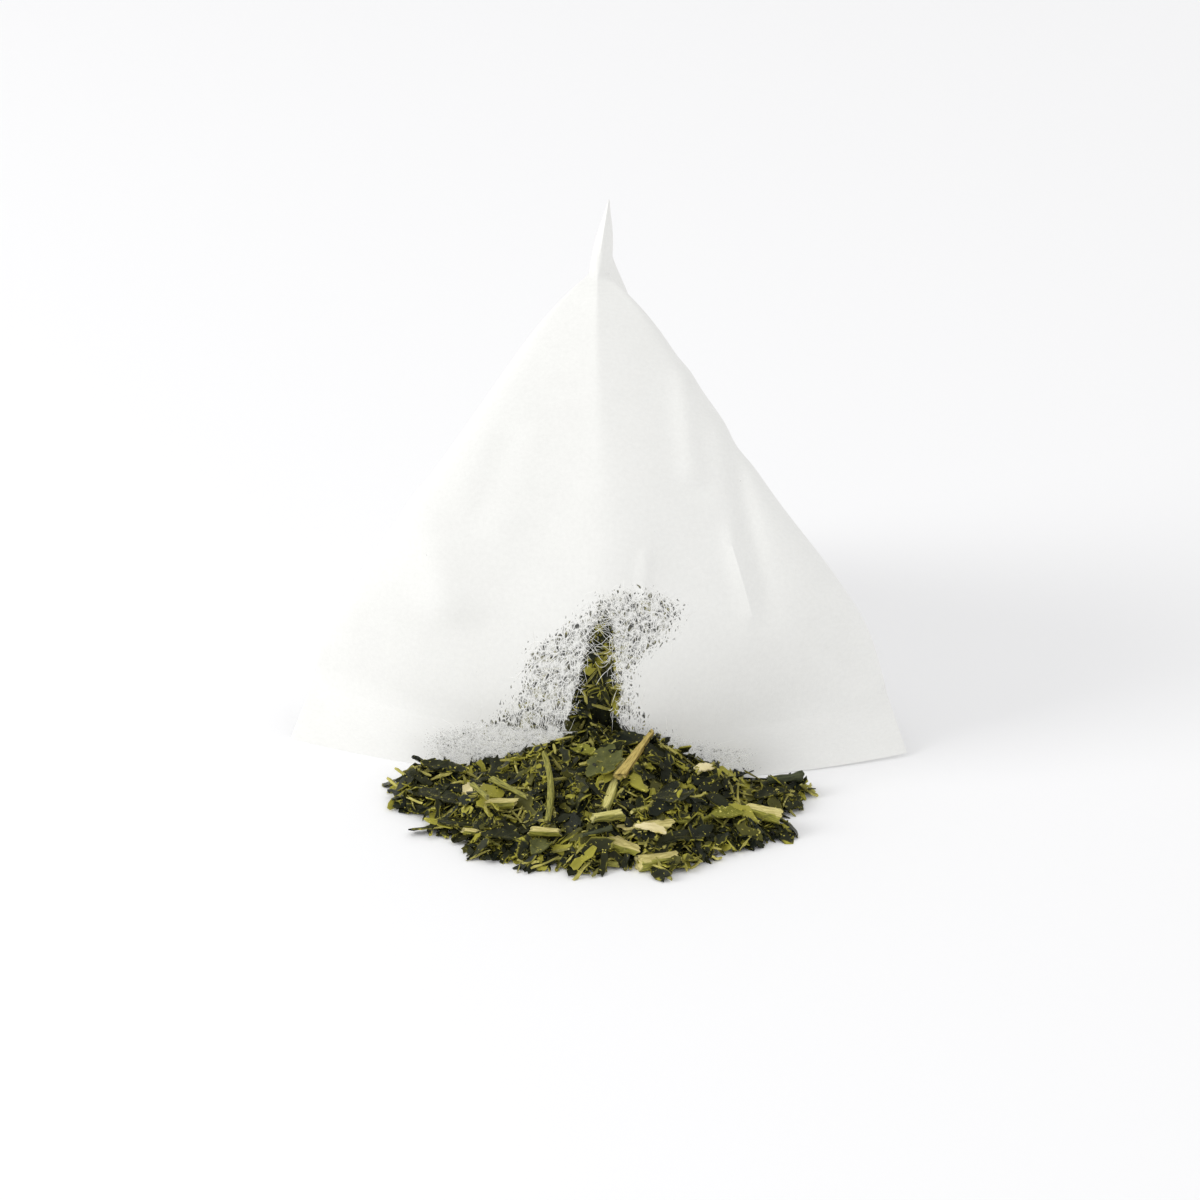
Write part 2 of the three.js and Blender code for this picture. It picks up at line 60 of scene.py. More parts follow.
lowest, highest = (np.array(corner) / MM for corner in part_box("bag_sheet"))
look_at = Vector((0, -17, 20)) * MM
scene = bpy.context.scene
scene.view_settings.view_transform = "Standard"

camera = bpy.data.objects.new("camera", bpy.data.cameras.new("camera"))
scene.collection.objects.link(camera)
scene.camera = camera
camera.data.lens = CAMERA_LENS
camera.data.shift_x, camera.data.shift_y = CAMERA_SHIFT
camera.data.clip_start, camera.data.clip_end = 0.01, 10
towards_camera = Vector((
    math.sin(CAMERA_TURN) * math.cos(CAMERA_RISE),
    -math.cos(CAMERA_TURN) * math.cos(CAMERA_RISE),
    math.sin(CAMERA_RISE),
))
camera.location = look_at + CAMERA_AWAY * towards_camera
camera.rotation_euler = towards_camera.to_track_quat("Z", "Y").to_euler()


def srgb(code):
    """The linear RGBA of an sRGB colour written 0xRRGGBB."""
    value = np.array([code >> 16 & 255, code >> 8 & 255, code & 255]) / 255
    linear = np.where(value <= 0.04045, value / 12.92, ((value + 0.055) / 1.055) ** 2.4)
    return (*linear, 1.0)


def add_node(tree, kind, settings=None, **inputs):
    """Adds a shader node. settings go to the node, and inputs to its sockets: a value or a link.
    An input's name is the socket's name, or i and its number."""
    made = tree.nodes.new(kind)
    for name, value in (settings or {}).items():
        setattr(made, name, value)
    for name, value in inputs.items():
        numbered = name[1:].isdigit()
        socket = made.inputs[int(name[1:]) if numbered else name.replace("_", " ")]
        if isinstance(value, bpy.types.NodeSocket):
            tree.links.new(value, socket)
        else:
            socket.default_value = value
    return made


def new_material(name):
    """An empty node material and its tree."""
    material = bpy.data.materials.new(name)
    material.use_nodes = True
    material.node_tree.nodes.clear()
    return material, material.node_tree


def finish_material(tree, specular, **inputs):
    """Adds the surface shader with its inputs and the material's output, and gives the shader."""
    shader = add_node(tree, "ShaderNodeBsdfPrincipled", **inputs)
    shader.inputs["Specular IOR Level"].default_value = specular
    add_node(tree, "ShaderNodeOutputMaterial", Surface=shader.outputs[0])
    return shader


def area_light(name, place, energy, size, colour):
    """A square soft light at a place in metres, turned to the middle of the bag."""
    light = bpy.data.objects.new(name, bpy.data.lights.new(name, "AREA"))
    scene.collection.objects.link(light)
    light.location = place
    light.rotation_euler = (Vector(place) - look_at).to_track_quat("Z", "Y").to_euler()
    light.data.energy = energy
    light.data.size = size
    light.data.color = srgb(colour)[:3]


# White lacquered table: an even, nearly matt white that fades into the background.
table_top, tree = new_material("white_table")
finish_material(tree, 0.2, Base_Color=srgb(0xF8F8F9), Roughness=0.7)
floor_mesh = bpy.data.meshes.new("floor")
floor_mesh.from_pydata(
    [(FLOOR_REACH * x, FLOOR_REACH * y, 0) for x, y in ((-1, -1), (1, -1), (1, 1), (-1, 1))],
    [], [(0, 1, 2, 3)],
)
floor_mesh.materials.append(table_top)
floor = bpy.data.objects.new("floor", floor_mesh)
scene.collection.objects.link(floor)

world = bpy.data.worlds.new("white_room")
scene.world = world
world.use_nodes = True
world.node_tree.nodes.clear()
sky = add_node(world.node_tree, "ShaderNodeBackground", Color=srgb(0xFFFFFF), Strength=0.87)
add_node(world.node_tree, "ShaderNodeOutputWorld", Surface=sky.outputs[0])
area_light("window_left", WINDOW_PLACE, 2.05, 0.35, 0xFFFFFE)

# ------------------------------------------------------------------------------------------
# The bag sheet: one rectangle of white heat-sealable nonwoven, 62 mm wide and 130 mm long.
# The real one is lapped into a tube, and that hidden seam isn't drawn. The tube's lower end is
# welded flat from left to right, and its upper end is welded flat from front to back.

CUT_HALF = (highest[0] - lowest[0]) / 2  # half of the lower cut edge, corner to corner
WELD_HALF = CUT_HALF - 2.3  # half of the lower weld's inner edge
WELD_Z = 5.8  # height of the lower weld's inner edge
WELD_BOW = 11.2  # how far the inner edge of the weld bows forward
CUT_BOW = 7.0  # and how far its cut edge does
WELD_FRONT_Y = -8.0  # the weld's inner edge at its middle
CORNER_LIFT = 0.4  # the right corner stands this far off the table
APEX = np.array([7.2, 48.3])  # Y, Z of the upper weld's front end
BACK = np.array([41.0, 2.4])  # and of its back end
TAIL = np.array([10.6, 54.6])  # Y, Z of the upper fin's top corner
HEEL = np.array([47.2, 1.4])  # and its lower corner, at the back
PEAK_X = -0.45  # the peak stands this far off the middle
TAIL_LEAN = 0.9  # the tip of the tail leans this far to the right of it
NECK_SPREAD = 0.95  # each layer's distance from the middle just behind the peak
BACK_WAVE = 3.0  # swing of the upper weld from side to side
BASE_SAG = 0.45  # how much more the base hangs out than the front does
THICK = 0.11  # thickness of the web
RIDGE_DRIFT = 1.2  # the front ridge runs this far to the right on its way down
SHIFT_Y = highest[1] - HEEL[0]  # the arrays count Y from the line of the cut corners

SIDE = 37  # samples on each eighth of a section
AROUND = 8 * SIDE
QUARTER = 2 * SIDE
FIN_ROWS = 14
BODY_ROWS = 118
facing_front = np.arange(AROUND) <= 2 * QUARTER

across_weld = APEX - BACK
UPPER_HALF = np.linalg.norm(across_weld) / 2
across_weld /= 2 * UPPER_HALF
MIDDLE = (APEX + BACK) / 2


def ease(value, low, high):
    """0 below low, 1 above high, and 3t^2 - 2t^3 between them."""
    t = np.clip((value - low) / (high - low), 0, 1)
    return t * t * (3 - 2 * t)


def section_outlines(u):
    """Outlines of the tube at the places u, from 0 at the lower weld to 1 at the upper weld.
    Each is an eight-sided figure, wide near the lower weld and tall near the upper one, whose
    corners are softened by a Gaussian that is narrow at the folds and wide elsewhere."""
    u = u[:, None]
    belly = (4 * u * (1 - u)) ** 0.7
    half = WELD_HALF * (1 - u) ** 0.71 + 11 * u * (1 - u) ** 2
    rise = UPPER_HALF * u**0.8
    drop = rise * (1 + BASE_SAG * belly)
    out, none = half + 0.8 * belly, 0 * u
    corner_x = np.hstack([-out, -half, none, half, out, half, none, -half])
    corner_y = np.hstack([none, rise, rise + 3.2 * belly, rise, none, -drop, -drop, -drop])
    corners = np.stack([corner_x, corner_y], 2)
    place = np.arange(AROUND) / SIDE
    side = place.astype(int)
    part = (place - side)[None, :, None]
    outline = corners[:, side] * (1 - part) + corners[:, (side + 1) % 8] * part

    def near(corner, reach):
        away = np.minimum(abs(place - corner), 8 - abs(place - corner))
        return np.exp(-((away / reach) ** 2))

    folds = 1 - 0.95 * (1 - u) ** 4 * (near(0, 0.6) + near(4, 0.6))
    ridge = 1 - 0.95 * u**0.15 * near(2, 0.5)
    heel = 1 - 0.95 * u**4 * near(6, 0.6)
    ends = 0.25 + 0.75 * np.sqrt(4 * u * (1 - u))
    spread = np.maximum(0.01, 0.22 * folds * ridge * heel * ends) * SIDE
    window = np.arange(-28, 29)
    weight = np.exp(-0.5 * (window / spread[..., None]) ** 2)
    samples = (np.arange(AROUND)[:, None] + window) % AROUND
    return (outline[:, samples] * weight[..., None]).sum(2) / weight.sum(2)[..., None]


def weld_wave(down):
    """How far the upper weld waves to the right, from its top (0) to its heel (2)."""
    return BACK_WAVE * np.sin(np.pi * down) * ease(down, 0.15, 0.7)


def body_rows(u, offset, lowest_z):
    """The tube's surface: each section stands parallel to both welds, moved from the lower weld
    to the upper one, bowed forward near the lower weld, and flattened where it meets the table."""
    outline = section_outlines(u)
    along_loop = np.roll(outline, -1, 1) - np.roll(outline, 1, 1)
    along_loop /= np.maximum(np.linalg.norm(along_loop, axis=2, keepdims=True), 1e-6)
    x = outline[..., 0] - offset * along_loop[..., 1]
    y = outline[..., 1] + offset * along_loop[..., 0]
    u = u[:, None]
    x = x * (1 - np.where(x < 0, 0.04, 0.0) * np.exp(-(((u - 0.86) / 0.13) ** 2)))
    centre_y = WELD_FRONT_Y + (MIDDLE[0] - WELD_FRONT_Y) * u
    centre_z = WELD_Z + (MIDDLE[1] - WELD_Z) * u
    y = np.maximum(y, (lowest_z - centre_z) / across_weld[1])
    bow = WELD_BOW * (1 - u) ** 2 * (x / WELD_HALF) ** 2
    down = np.clip(1 - y / UPPER_HALF, 0, 2)
    return np.stack([
        x + u**4 * (weld_wave(down) + PEAK_X),
        centre_y + y * across_weld[0] + bow,
        centre_z + y * across_weld[1],
    ], 2)


def lower_fin_rows(w, half_thickness):
    """The lower weld, from its cut edge on the table (w = 0) to its inner edge (w = 1)."""
    turn = np.arange(AROUND) / QUARTER
    front = turn <= 2
    first = section_outlines(np.array([0.02]))[0, :, 0]
    w = w[:, None]
    across = np.where(front, turn - 1, 3 - turn) * (1 - w) + first / first[2 * QUARTER] * w
    half = CUT_HALF + (WELD_HALF - CUT_HALF) * w
    bow = CUT_BOW + (WELD_BOW - CUT_BOW) * w
    middle = -CUT_BOW + (WELD_FRONT_Y + CUT_BOW) * w
    side = np.where(front, -half_thickness, half_thickness) * (turn % 2 != 0)
    lift = CORNER_LIFT * (1 - w) * np.maximum(0, across) ** 3
    return np.stack([half * across, middle + bow * across**2 + side, WELD_Z * w + lift], 2)


def upper_fin_rows(w, half_thickness):
    """The upper weld, from its inner edge (w = 0) to its cut edge (w = 1). Its two layers are
    still a little apart just behind the peak, and its top corner is drawn out into the tail."""
    turn = (np.arange(AROUND) / QUARTER - 1) % 4
    right = turn <= 2
    last = section_outlines(np.array([0.98]))[0, :, 1]
    w = w[:, None]
    down = (1 - last / last[QUARTER]) * (1 - w) + np.where(right, turn, 4 - turn) * w
    top = APEX + (TAIL - APEX) * w[..., None]
    bottom = BACK + (HEEL - BACK) * w[..., None]
    place = top + (bottom - top) * down[..., None] / 2
    spread = NECK_SPREAD * (1 - w**3) * np.sin(np.pi * np.clip(7 * down, 0, 1)) ** 0.7
    side = np.where(right, 1, -1) * (half_thickness + spread) * (turn % 2 != 0)
    lean = TAIL_LEAN * w * np.maximum(0, 1 - 2 * down)
    return np.stack([weld_wave(down) + PEAK_X + side + lean, place[..., 0], place[..., 1]], 2)


def sheet_rows(offset, half_weld, lowest_z):
    """One face of the sheet as a grid: lower weld, tube and upper weld, from cut edge to cut edge."""
    return np.vstack([
        lower_fin_rows(np.linspace(0, 0.94, FIN_ROWS), half_weld),
        body_rows(np.linspace(0.02, 0.98, BODY_ROWS), offset, lowest_z),
        upper_fin_rows(np.linspace(0.08, 1, FIN_ROWS), half_weld),
    ])


def grid_normals(grid):
    """Unit normals of a grid that closes on itself along its second index, facing outwards."""
    around = np.roll(grid, -1, 1) - np.roll(grid, 1, 1)
    along = np.gradient(grid, axis=0)
    normal = np.cross(around, along)
    return normal / np.maximum(np.linalg.norm(normal, axis=2, keepdims=True), 1e-9)


def fold_across(x, z, start, end, depth, width):
    """A soft fold from start to end, as X and Z on the front: depth times a Gaussian across the
    line, fading out over its last fifth at either end."""
    start, end = np.array(start), np.array(end)
    way = end - start
    length = np.linalg.norm(way)
    along = ((x - start[0]) * way[0] + (z - start[1]) * way[1]) / length**2
    away = ((x - start[0]) * way[1] - (z - start[1]) * way[0]) / length
    fade = ease(along, -0.1, 0.2) * (1 - ease(along, 0.8, 1.1))
    return depth * fade * np.exp(-((away / width) ** 2))


def crumple(grid):
    """How far the handled sheet stands out from its smooth form: a sum of long soft waves in
    seeded directions, and the folds that the front shows."""
    rng = np.random.default_rng(11)
    x, y, z = grid[..., 0], grid[..., 1], grid[..., 2]
    waves = 0 * x
    for length in (31, 24, 19, 15, 12, 9.5):
        heading = rng.normal(size=3)
        heading *= 2 * np.pi / (length * np.linalg.norm(heading))
        waves += 0.008 * length * np.sin(grid @ heading + rng.uniform(0, 2 * np.pi))
    folds = (
        fold_across(x, z, (13.4, 34), (16.9, 16.5), -0.55, 1.0)
        + fold_across(x, z, (13.0, 26), (15.5, 16.0), 0.45, 0.6)
        + fold_across(x, z, (21.8, 13.2), (28.6, 4.0), -0.6, 0.8)
        + fold_across(x, z, (4.3, 24.5), (4.0, 19.0), 0.28, 0.45)
        + fold_across(x, z, (-17.5, 28), (-13.5, 16), 0.45, 2.2)
        + fold_across(x, z, (-8.0, 36), (-12.5, 24), -0.3, 1.8)
        + fold_across(x, z, (8.0, 40), (9.5, 30), 0.3, 1.2)
    )
    return waves + folds * facing_front


outer = sheet_rows(0, THICK, 0.0)
inner = sheet_rows(-THICK, 0.01, THICK)
normal = grid_normals(outer)
row = np.arange(len(outer))[:, None]
last_row = len(outer) - FIN_ROWS
free = ease(row, FIN_ROWS, FIN_ROWS + 25) * (1 - ease(row, last_row - 20, last_row))
off_table = ease(outer[..., 2], 0.3, 4.0)
lift = (crumple(outer) * free * off_table)[..., None] * normal
on_ridge = np.exp(-((outer[..., 0] / 7) ** 2)) * facing_front
lift[..., 0] += RIDGE_DRIFT * (1 - ease(outer[..., 2], 18, 46)) * on_ridge * free
outer = outer + lift
inner = inner + lift
outer[..., 2] = np.maximum(outer[..., 2], 0.01)
inner[..., 2] = np.maximum(inner[..., 2], 0.02)

# The tear: a tall gap from the weld up the middle of the front, and around it the web is pulled
# out thin, so that the tea behind shows between its fibres.
TEAR_FOOT, TEAR_TOP = 4.6, 19.5
GAP_MARGIN = 0.45  # the mesh goes on this far into the gap, where the material ends it raggedly


def tear_edges(z):
    """X of the tear's left and right edges at a height, as two leaning lines with a bulge and a
    flare at the foot, that close together at the top."""
    close = 1 - ease(z, TEAR_TOP - 3, TEAR_TOP)
    middle = 1.4 + 0 * z
    left = -3.0 + 3.5 * (z - TEAR_FOOT) / (TEAR_TOP - TEAR_FOOT)
    right = 2.1 + 0.8 * np.exp(-(((z - 10.7) / 2) ** 2)) + 2.2 * np.exp(-(z - TEAR_FOOT) / 1.2)
    return middle + (left - middle) * close, middle + (right - middle) * close


def tear_distance(x, z):
    """Millimetres from the tear's outline, less than zero in the gap."""
    left, right = tear_edges(np.clip(z, TEAR_FOOT - 1, TEAR_TOP))
    return np.maximum(np.maximum(left - x, x - right), z - TEAR_TOP)


def thinness(x, z):
    """How thin the web is pulled, 0 to 1, from the boundaries of the thin patches on each side
    of the tear."""
    left = -1.6 - 0.68 * (20.5 - z) - 2.3 * np.exp(-(((z - 14) / 3) ** 2))
    left -= 4.3 * np.exp(-(z - 4) / 2)
    right = 5.0 + 5.0 * np.exp(-(((z - 18.0) / 3.6) ** 2)) + 12 * np.exp(-(z - 3) / 2.2)
    inside_left = ease(x - np.maximum(left, -18.5), -0.8, 3.4)
    inside_right = ease(np.minimum(right, 17) - x, -1.2, 2.6)
    return inside_left * inside_right * (1 - ease(z, 19.5, 23))


tear = np.where(facing_front, tear_distance(outer[..., 0], outer[..., 2]), 9.0)
thin = np.where(facing_front, thinness(outer[..., 0], outer[..., 2]), 0.0)
in_weld = row[:, 0] < FIN_ROWS
tear[in_weld] = tear_distance(outer[in_weld, :, 0], outer[in_weld, :, 2])
thin[in_weld] = thinness(outer[in_weld, :, 0], outer[in_weld, :, 2])


def tube_wall(outer, inner, gone):
    """Faces of a wall between two grids that close along their second index. Cells that are gone
    leave a hole, and every free edge, at the hole and at both ends, is closed by a narrow face."""
    rows, around = outer.shape[:2]
    number = np.arange(rows * around).reshape(rows, around)
    a, b = number[:-1], np.roll(number, -1, 1)[:-1]
    d, c = number[1:], np.roll(number, -1, 1)[1:]
    kept = ~gone
    shell = rows * around
    faces = [
        np.stack([a, b, c, d], 2)[kept],
        np.stack([a, d, c, b], 2)[kept] + shell,
    ]
    edge = np.ones((1, around), bool)
    for start, end, beside in (
        (a, b, np.vstack([edge, gone[:-1]])),
        (b, c, np.roll(gone, -1, 1)),
        (c, d, np.vstack([gone[1:], edge])),
        (d, a, np.roll(gone, 1, 1)),
    ):
        rim = kept & beside
        p, q = start[rim], end[rim]
        faces.append(np.stack([q, p, p + shell, q + shell], 1))
    return np.vstack([outer.reshape(-1, 3), inner.reshape(-1, 3)]), np.vstack(faces)


def mesh_piece(name, points, faces, material, values=None, uv=None, sharp=40):
    """A piece from points in millimetres and equal-sided faces. values are named attributes of its
    points, uv is a pair for every point, and faces that meet at more than the sharp angle show an
    edge."""
    used, faces_of = np.unique(faces, return_inverse=True)
    faces_of = faces_of.reshape(faces.shape)
    placed = (points[used] + [0, SHIFT_Y, 0]) * MM
    mesh = bpy.data.meshes.new(name)
    mesh.from_pydata(placed.tolist(), [], faces_of.tolist())
    for label, value in (values or {}).items():
        attribute = mesh.attributes.new(label, "FLOAT", "POINT")
        attribute.data.foreach_set("value", value[used].astype(np.float32))
    if uv is not None:
        layer = mesh.uv_layers.new(name="UVMap")
        layer.data.foreach_set("uv", uv[faces].reshape(-1, 2).astype(np.float32).ravel())
    mesh.shade_smooth()
    mesh.set_sharp_from_angle(angle=math.radians(sharp))
    mesh.materials.append(material)
    piece = bpy.data.objects.new(name, mesh)
    scene.collection.objects.link(piece)
    return piece


def attribute_of(tree, name):
    """The value of a named attribute of the mesh."""
    return add_node(tree, "ShaderNodeAttribute", {"attribute_name": name}).outputs["Fac"]


def maths(tree, operation, first, second=0.0, third=0.0, clamp=True):
    """A math node's result, kept between 0 and 1 if clamp is true."""
    settings = {"operation": operation, "use_clamp": clamp}
    return add_node(tree, "ShaderNodeMath", settings, i0=first, i1=second, i2=third).outputs[0]


def noise(tree, vector, scale, detail, roughness):
    """Fractal noise at a vector, about 0.5."""
    inputs = {"Vector": vector, "Scale": scale, "Detail": detail, "Roughness": roughness}
    return add_node(tree, "ShaderNodeTexNoise", **inputs).outputs["Fac"]


def ramp(tree, value, low, high, dark, light):
    """A colour from dark, where the value is low, to light, where it is high."""
    made = add_node(tree, "ShaderNodeValToRGB", Fac=value)
    for element, place, colour in zip(made.color_ramp.elements, (low, high), (dark, light)):
        element.position = place
        element.color = srgb(colour)
    return made.outputs[0]


def bump(tree, strength, distance, height):
    """A bumped normal, from a height and the distance in metres that it stands for."""
    return add_node(
        tree, "ShaderNodeBump", Strength=strength, Distance=distance, Height=height
    ).outputs[0]


def nonwoven_material():
    """Spunlaid polylactide nonwoven, about 20 g/m2: a matt white felt of fine fibres with faint
    cloudy density. Where it is pulled thin, the gaps between its fibres open. The small emission
    stands for the light that comes through so thin a web. The pattern is on the flat sheet, in
    millimetres, and its gaps of about 0.4 mm are drawn coarser than the real ones."""
    material, tree = new_material("white_nonwoven")
    flat = add_node(tree, "ShaderNodeUVMap", {"uv_map": "UVMap"}).outputs[0]
    tear_at, thin_at = attribute_of(tree, "tear"), attribute_of(tree, "thin")

    def fibre_gaps(turn, cell, stretch, opening):
        """Gaps of one layer of fibres: cells of a size in millimetres, drawn out one way."""
        wander = add_node(tree, "ShaderNodeTexNoise", Vector=flat, Scale=0.9, Detail=2.0)
        bent = add_node(
            tree, "ShaderNodeVectorMath", {"operation": "MULTIPLY_ADD"},
            i0=wander.outputs["Color"], i1=(0.9, 0.9, 0.0), i2=flat,
        )
        turned = add_node(
            tree, "ShaderNodeMapping", Vector=bent.outputs[0], Rotation=(0, 0, math.radians(turn)),
            Scale=(1 / cell, 1 / (cell * stretch), 1),
        )
        cells = add_node(
            tree, "ShaderNodeTexVoronoi", {"feature": "DISTANCE_TO_EDGE"},
            Vector=turned.outputs[0], Scale=1.0,
        )
        wall = maths(tree, "MULTIPLY_ADD", thin_at, -0.38, opening, clamp=False)
        gap = maths(tree, "SUBTRACT", cells.outputs["Distance"], wall, clamp=False)
        return maths(tree, "MULTIPLY", gap, 14.0)

    gaps = maths(
        tree, "MULTIPLY", fibre_gaps(24, 0.36, 1.7, 0.39), fibre_gaps(-38, 0.42, 1.5, 0.37)
    )
    patch = maths(tree, "MULTIPLY_ADD", noise(tree, flat, 1.1, 2.0, 0.6), 4.0, -1.1)
    gaps = maths(tree, "MULTIPLY", gaps, patch)
    ragged = maths(tree, "MULTIPLY_ADD", noise(tree, flat, 2.6, 4.0, 0.75), 1.6, -0.8, clamp=False)
    whole = maths(tree, "MULTIPLY", maths(tree, "ADD", tear_at, ragged, clamp=False), 9.0)
    alpha = maths(tree, "MULTIPLY", maths(tree, "MULTIPLY_ADD", gaps, -0.95, 1.0), whole)

    wide_cloud = maths(tree, "MULTIPLY", noise(tree, flat, 0.3, 3.0, 0.6), 0.3)
    cloud = maths(tree, "MULTIPLY_ADD", noise(tree, flat, 2.4, 5.0, 0.75), 0.7, wide_cloud)
    shader = finish_material(
        tree, 0.25, Roughness=0.85, Alpha=alpha,
        Base_Color=ramp(tree, cloud, 0.3, 0.7, 0xC8C8C5, 0xD2D2CF),
        Normal=bump(tree, 0.35, 0.00006, noise(tree, flat, 5.5, 5.0, 0.7)),
    )
    shader.inputs["Sheen Weight"].default_value = 0.15
    shader.inputs["Emission Color"].default_value = srgb(0xFFFFFE)
    shader.inputs["Emission Strength"].default_value = 0.24
    return material


nonwoven = nonwoven_material()
around_length = np.linalg.norm(np.roll(outer, -1, 1) - outer, axis=2)
around_place = np.cumsum(around_length, 1) - around_length
along_length = np.linalg.norm(np.diff(outer, axis=0, prepend=outer[:1]), axis=2).mean(1)
along_place = np.cumsum(along_length)[:, None] + 0 * around_place
flat_place = np.stack([around_place - around_place[:, QUARTER : QUARTER + 1], along_place], 2)
in_gap = tear < -GAP_MARGIN
in_gap = in_gap[:-1] & in_gap[1:]
sheet_points, sheet_faces = tube_wall(outer, inner, in_gap & np.roll(in_gap, -1, 1))
bag = mesh_piece(
    "bag_sheet_nonwoven", sheet_points, sheet_faces, nonwoven,
    values={"tear": np.tile(tear.ravel(), 2), "thin": np.tile(thin.ravel(), 2)},
    uv=np.vstack([flat_place.reshape(-1, 2)] * 2),
)
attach(bag, "root")
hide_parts("bag_sheet")


# ------------------------------------------------------------------------------------------
# The torn fibres: single filaments that the tear has pulled out of the web, drawn 0.03 to 0.05 mm
# thick, which is coarser than the real ones.
# Some stand along the tear's edges, some still bridge it, and many lie over the thin patches.

FIBRE_STEPS = 9


def grid_at(grid, rows, columns):
    """Points of a grid at fractional rows and columns, by bilinear interpolation."""
    rows = np.clip(rows, 0, len(grid) - 1.001)
    r, c = np.floor(rows).astype(int), np.floor(columns).astype(int)
    fr, fc = (rows - r)[..., None], (columns - c)[..., None]
    c0, c1 = c % AROUND, (c + 1) % AROUND
    low = grid[r, c0] * (1 - fc) + grid[r, c1] * fc
    high = grid[r + 1, c0] * (1 - fc) + grid[r + 1, c1] * fc
    return low * (1 - fr) + high * fr


def sheet_walk(start, heading, length, turn, lift):
    """Paths over the sheet's face: from grid places start, off at a heading (0 to the right, a
    quarter turn up), bending by turn over their length, standing lift off the face."""
    t = np.linspace(0, 1, FIBRE_STEPS)
    heading, turn = heading[:, None], turn[:, None]
    angle = heading + turn * (t - 0.5) + 0.5 * turn * np.sin(5 * t + heading)
    step = length[:, None] / (FIBRE_STEPS - 1)
    right = np.cumsum(np.cos(angle) * step, 1) - np.cos(angle) * step
    up = np.cumsum(np.sin(angle) * step, 1) - np.sin(angle) * step
    cell = start[:, :1].astype(int), start[:, 1:].astype(int) % AROUND
    rows = start[:, :1] + up / along_length[cell[0]]
    columns = start[:, 1:] + right / np.maximum(around_length[cell], 0.2)
    return grid_at(outer, rows, columns) + grid_at(normal, rows, columns) * lift[..., None]


def tubes(paths, radius):
    """Thin closed tubes along paths, an array of paths by steps by 3: a ring of points round each
    step, which shrinks to about a third at both ends."""
    sides = 3
    count, steps = paths.shape[:2]
    tangent = np.gradient(paths, axis=1)
    tangent /= np.maximum(np.linalg.norm(tangent, axis=2, keepdims=True), 1e-9)
    sideways = np.cross(tangent, [0.12, -0.93, 0.35])
    sideways /= np.maximum(np.linalg.norm(sideways, axis=2, keepdims=True), 1e-9)
    upwards = np.cross(sideways, tangent)
    turn = 2 * np.pi * np.arange(sides) / sides
    taper = 0.35 + 0.65 * np.sin(np.pi * np.linspace(0, 1, steps)) ** 0.5
    reach = (radius[:, None] * taper)[:, :, None, None]
    ring = np.cos(turn)[:, None] * sideways[:, :, None]
    ring = ring + np.sin(turn)[:, None] * upwards[:, :, None]
    points = (paths[:, :, None] + reach * ring).reshape(-1, 3)
    number = np.arange(count * steps * sides).reshape(count, steps, sides)
    a, d = number[:, :-1], number[:, 1:]
    walls = np.stack([a, np.roll(a, -1, 2), np.roll(d, -1, 2), d], 3).reshape(-1, 4)
    ends = number[:, 0, ::-1], number[:, -1]
    triangles = np.vstack([walls[:, [0, 1, 2]], walls[:, [0, 2, 3]], *ends])
    return points, triangles


def fibre_material():
    """Single filaments of the same plastic as the web: bright white, with a silky gloss, and a small
    white emission, a painted glow that stands for the light coming through them, as on the web."""
    material, tree = new_material("white_filament")
    place = add_node(tree, "ShaderNodeTexCoord").outputs["Object"]
    tone = noise(tree, place, 900.0, 2.0, 0.5)
    shader = finish_material(
        tree, 0.5, Base_Color=ramp(tree, tone, 0, 1, 0xE9E8E3, 0xFDFDFA), Roughness=0.5
    )
    # Painted light: a small white glow, so the filaments look lit through even where they shade each other.
    shader.inputs["Emission Color"].default_value = srgb(0xFFFFFF)
    shader.inputs["Emission Strength"].default_value = 0.12
    return material


filament = fibre_material()
rng = np.random.default_rng(5)
row_of = np.indices(tear.shape)[0]
CUT_EDGE_ROWS = 4  # bare of filaments
on_front = (row_of > CUT_EDGE_ROWS) & facing_front
on_tube = (row_of > FIN_ROWS) & facing_front


def pick(chance, count):
    """Grid places drawn by chance, each moved by up to half a cell."""
    flat = (chance / chance.sum()).ravel()
    chosen = rng.choice(flat.size, count, p=flat)
    places = np.stack(np.unravel_index(chosen, chance.shape), 1)
    return places + rng.uniform(-0.5, 0.5, (count, 2))


def fibre_set(start, heading, length, lift, thickest, bend):
    """Filaments from places on the sheet, that rise off it by a height in the range lift. Their
    radii go up to the thickest, and they bend by chance."""
    count = len(start)
    arch = np.sin(np.pi * np.linspace(0.1, 0.9, FIBRE_STEPS))
    height = rng.uniform(*lift, (count, 1)) * arch
    path = sheet_walk(start, heading, length, rng.normal(0, bend, count), height)
    return tubes(path, rng.uniform(0.014, thickest, count))


centre_x = np.add(*tear_edges(np.clip(outer[..., 2], TEAR_FOOT, TEAR_TOP))) / 2
inward = np.where(outer[..., 0] < centre_x, 0.0, np.pi)
at_edge = on_tube * np.exp(-((tear - 0.1) / 0.45) ** 2) * (outer[..., 2] < TEAR_TOP + 1.5)
EDGE_FIBRES, BRIDGE_FIBRES, WEB_FIBRES = 260, 36, 650
edge_start = pick(at_edge, EDGE_FIBRES)
edge_side = inward[edge_start[:, 0].astype(int), edge_start[:, 1].astype(int)]
bridge_start = pick(at_edge * ease(outer[..., 2], 12.5, 18), BRIDGE_FIBRES)
bridge_side = inward[bridge_start[:, 0].astype(int), bridge_start[:, 1].astype(int)]
on_web = on_front * ease(thin, 0.45, 1) ** 2 * (0.15 + ease(outer[..., 2], 3, 8)) * (tear > 0.1)
web_start = pick(on_web, WEB_FIBRES)
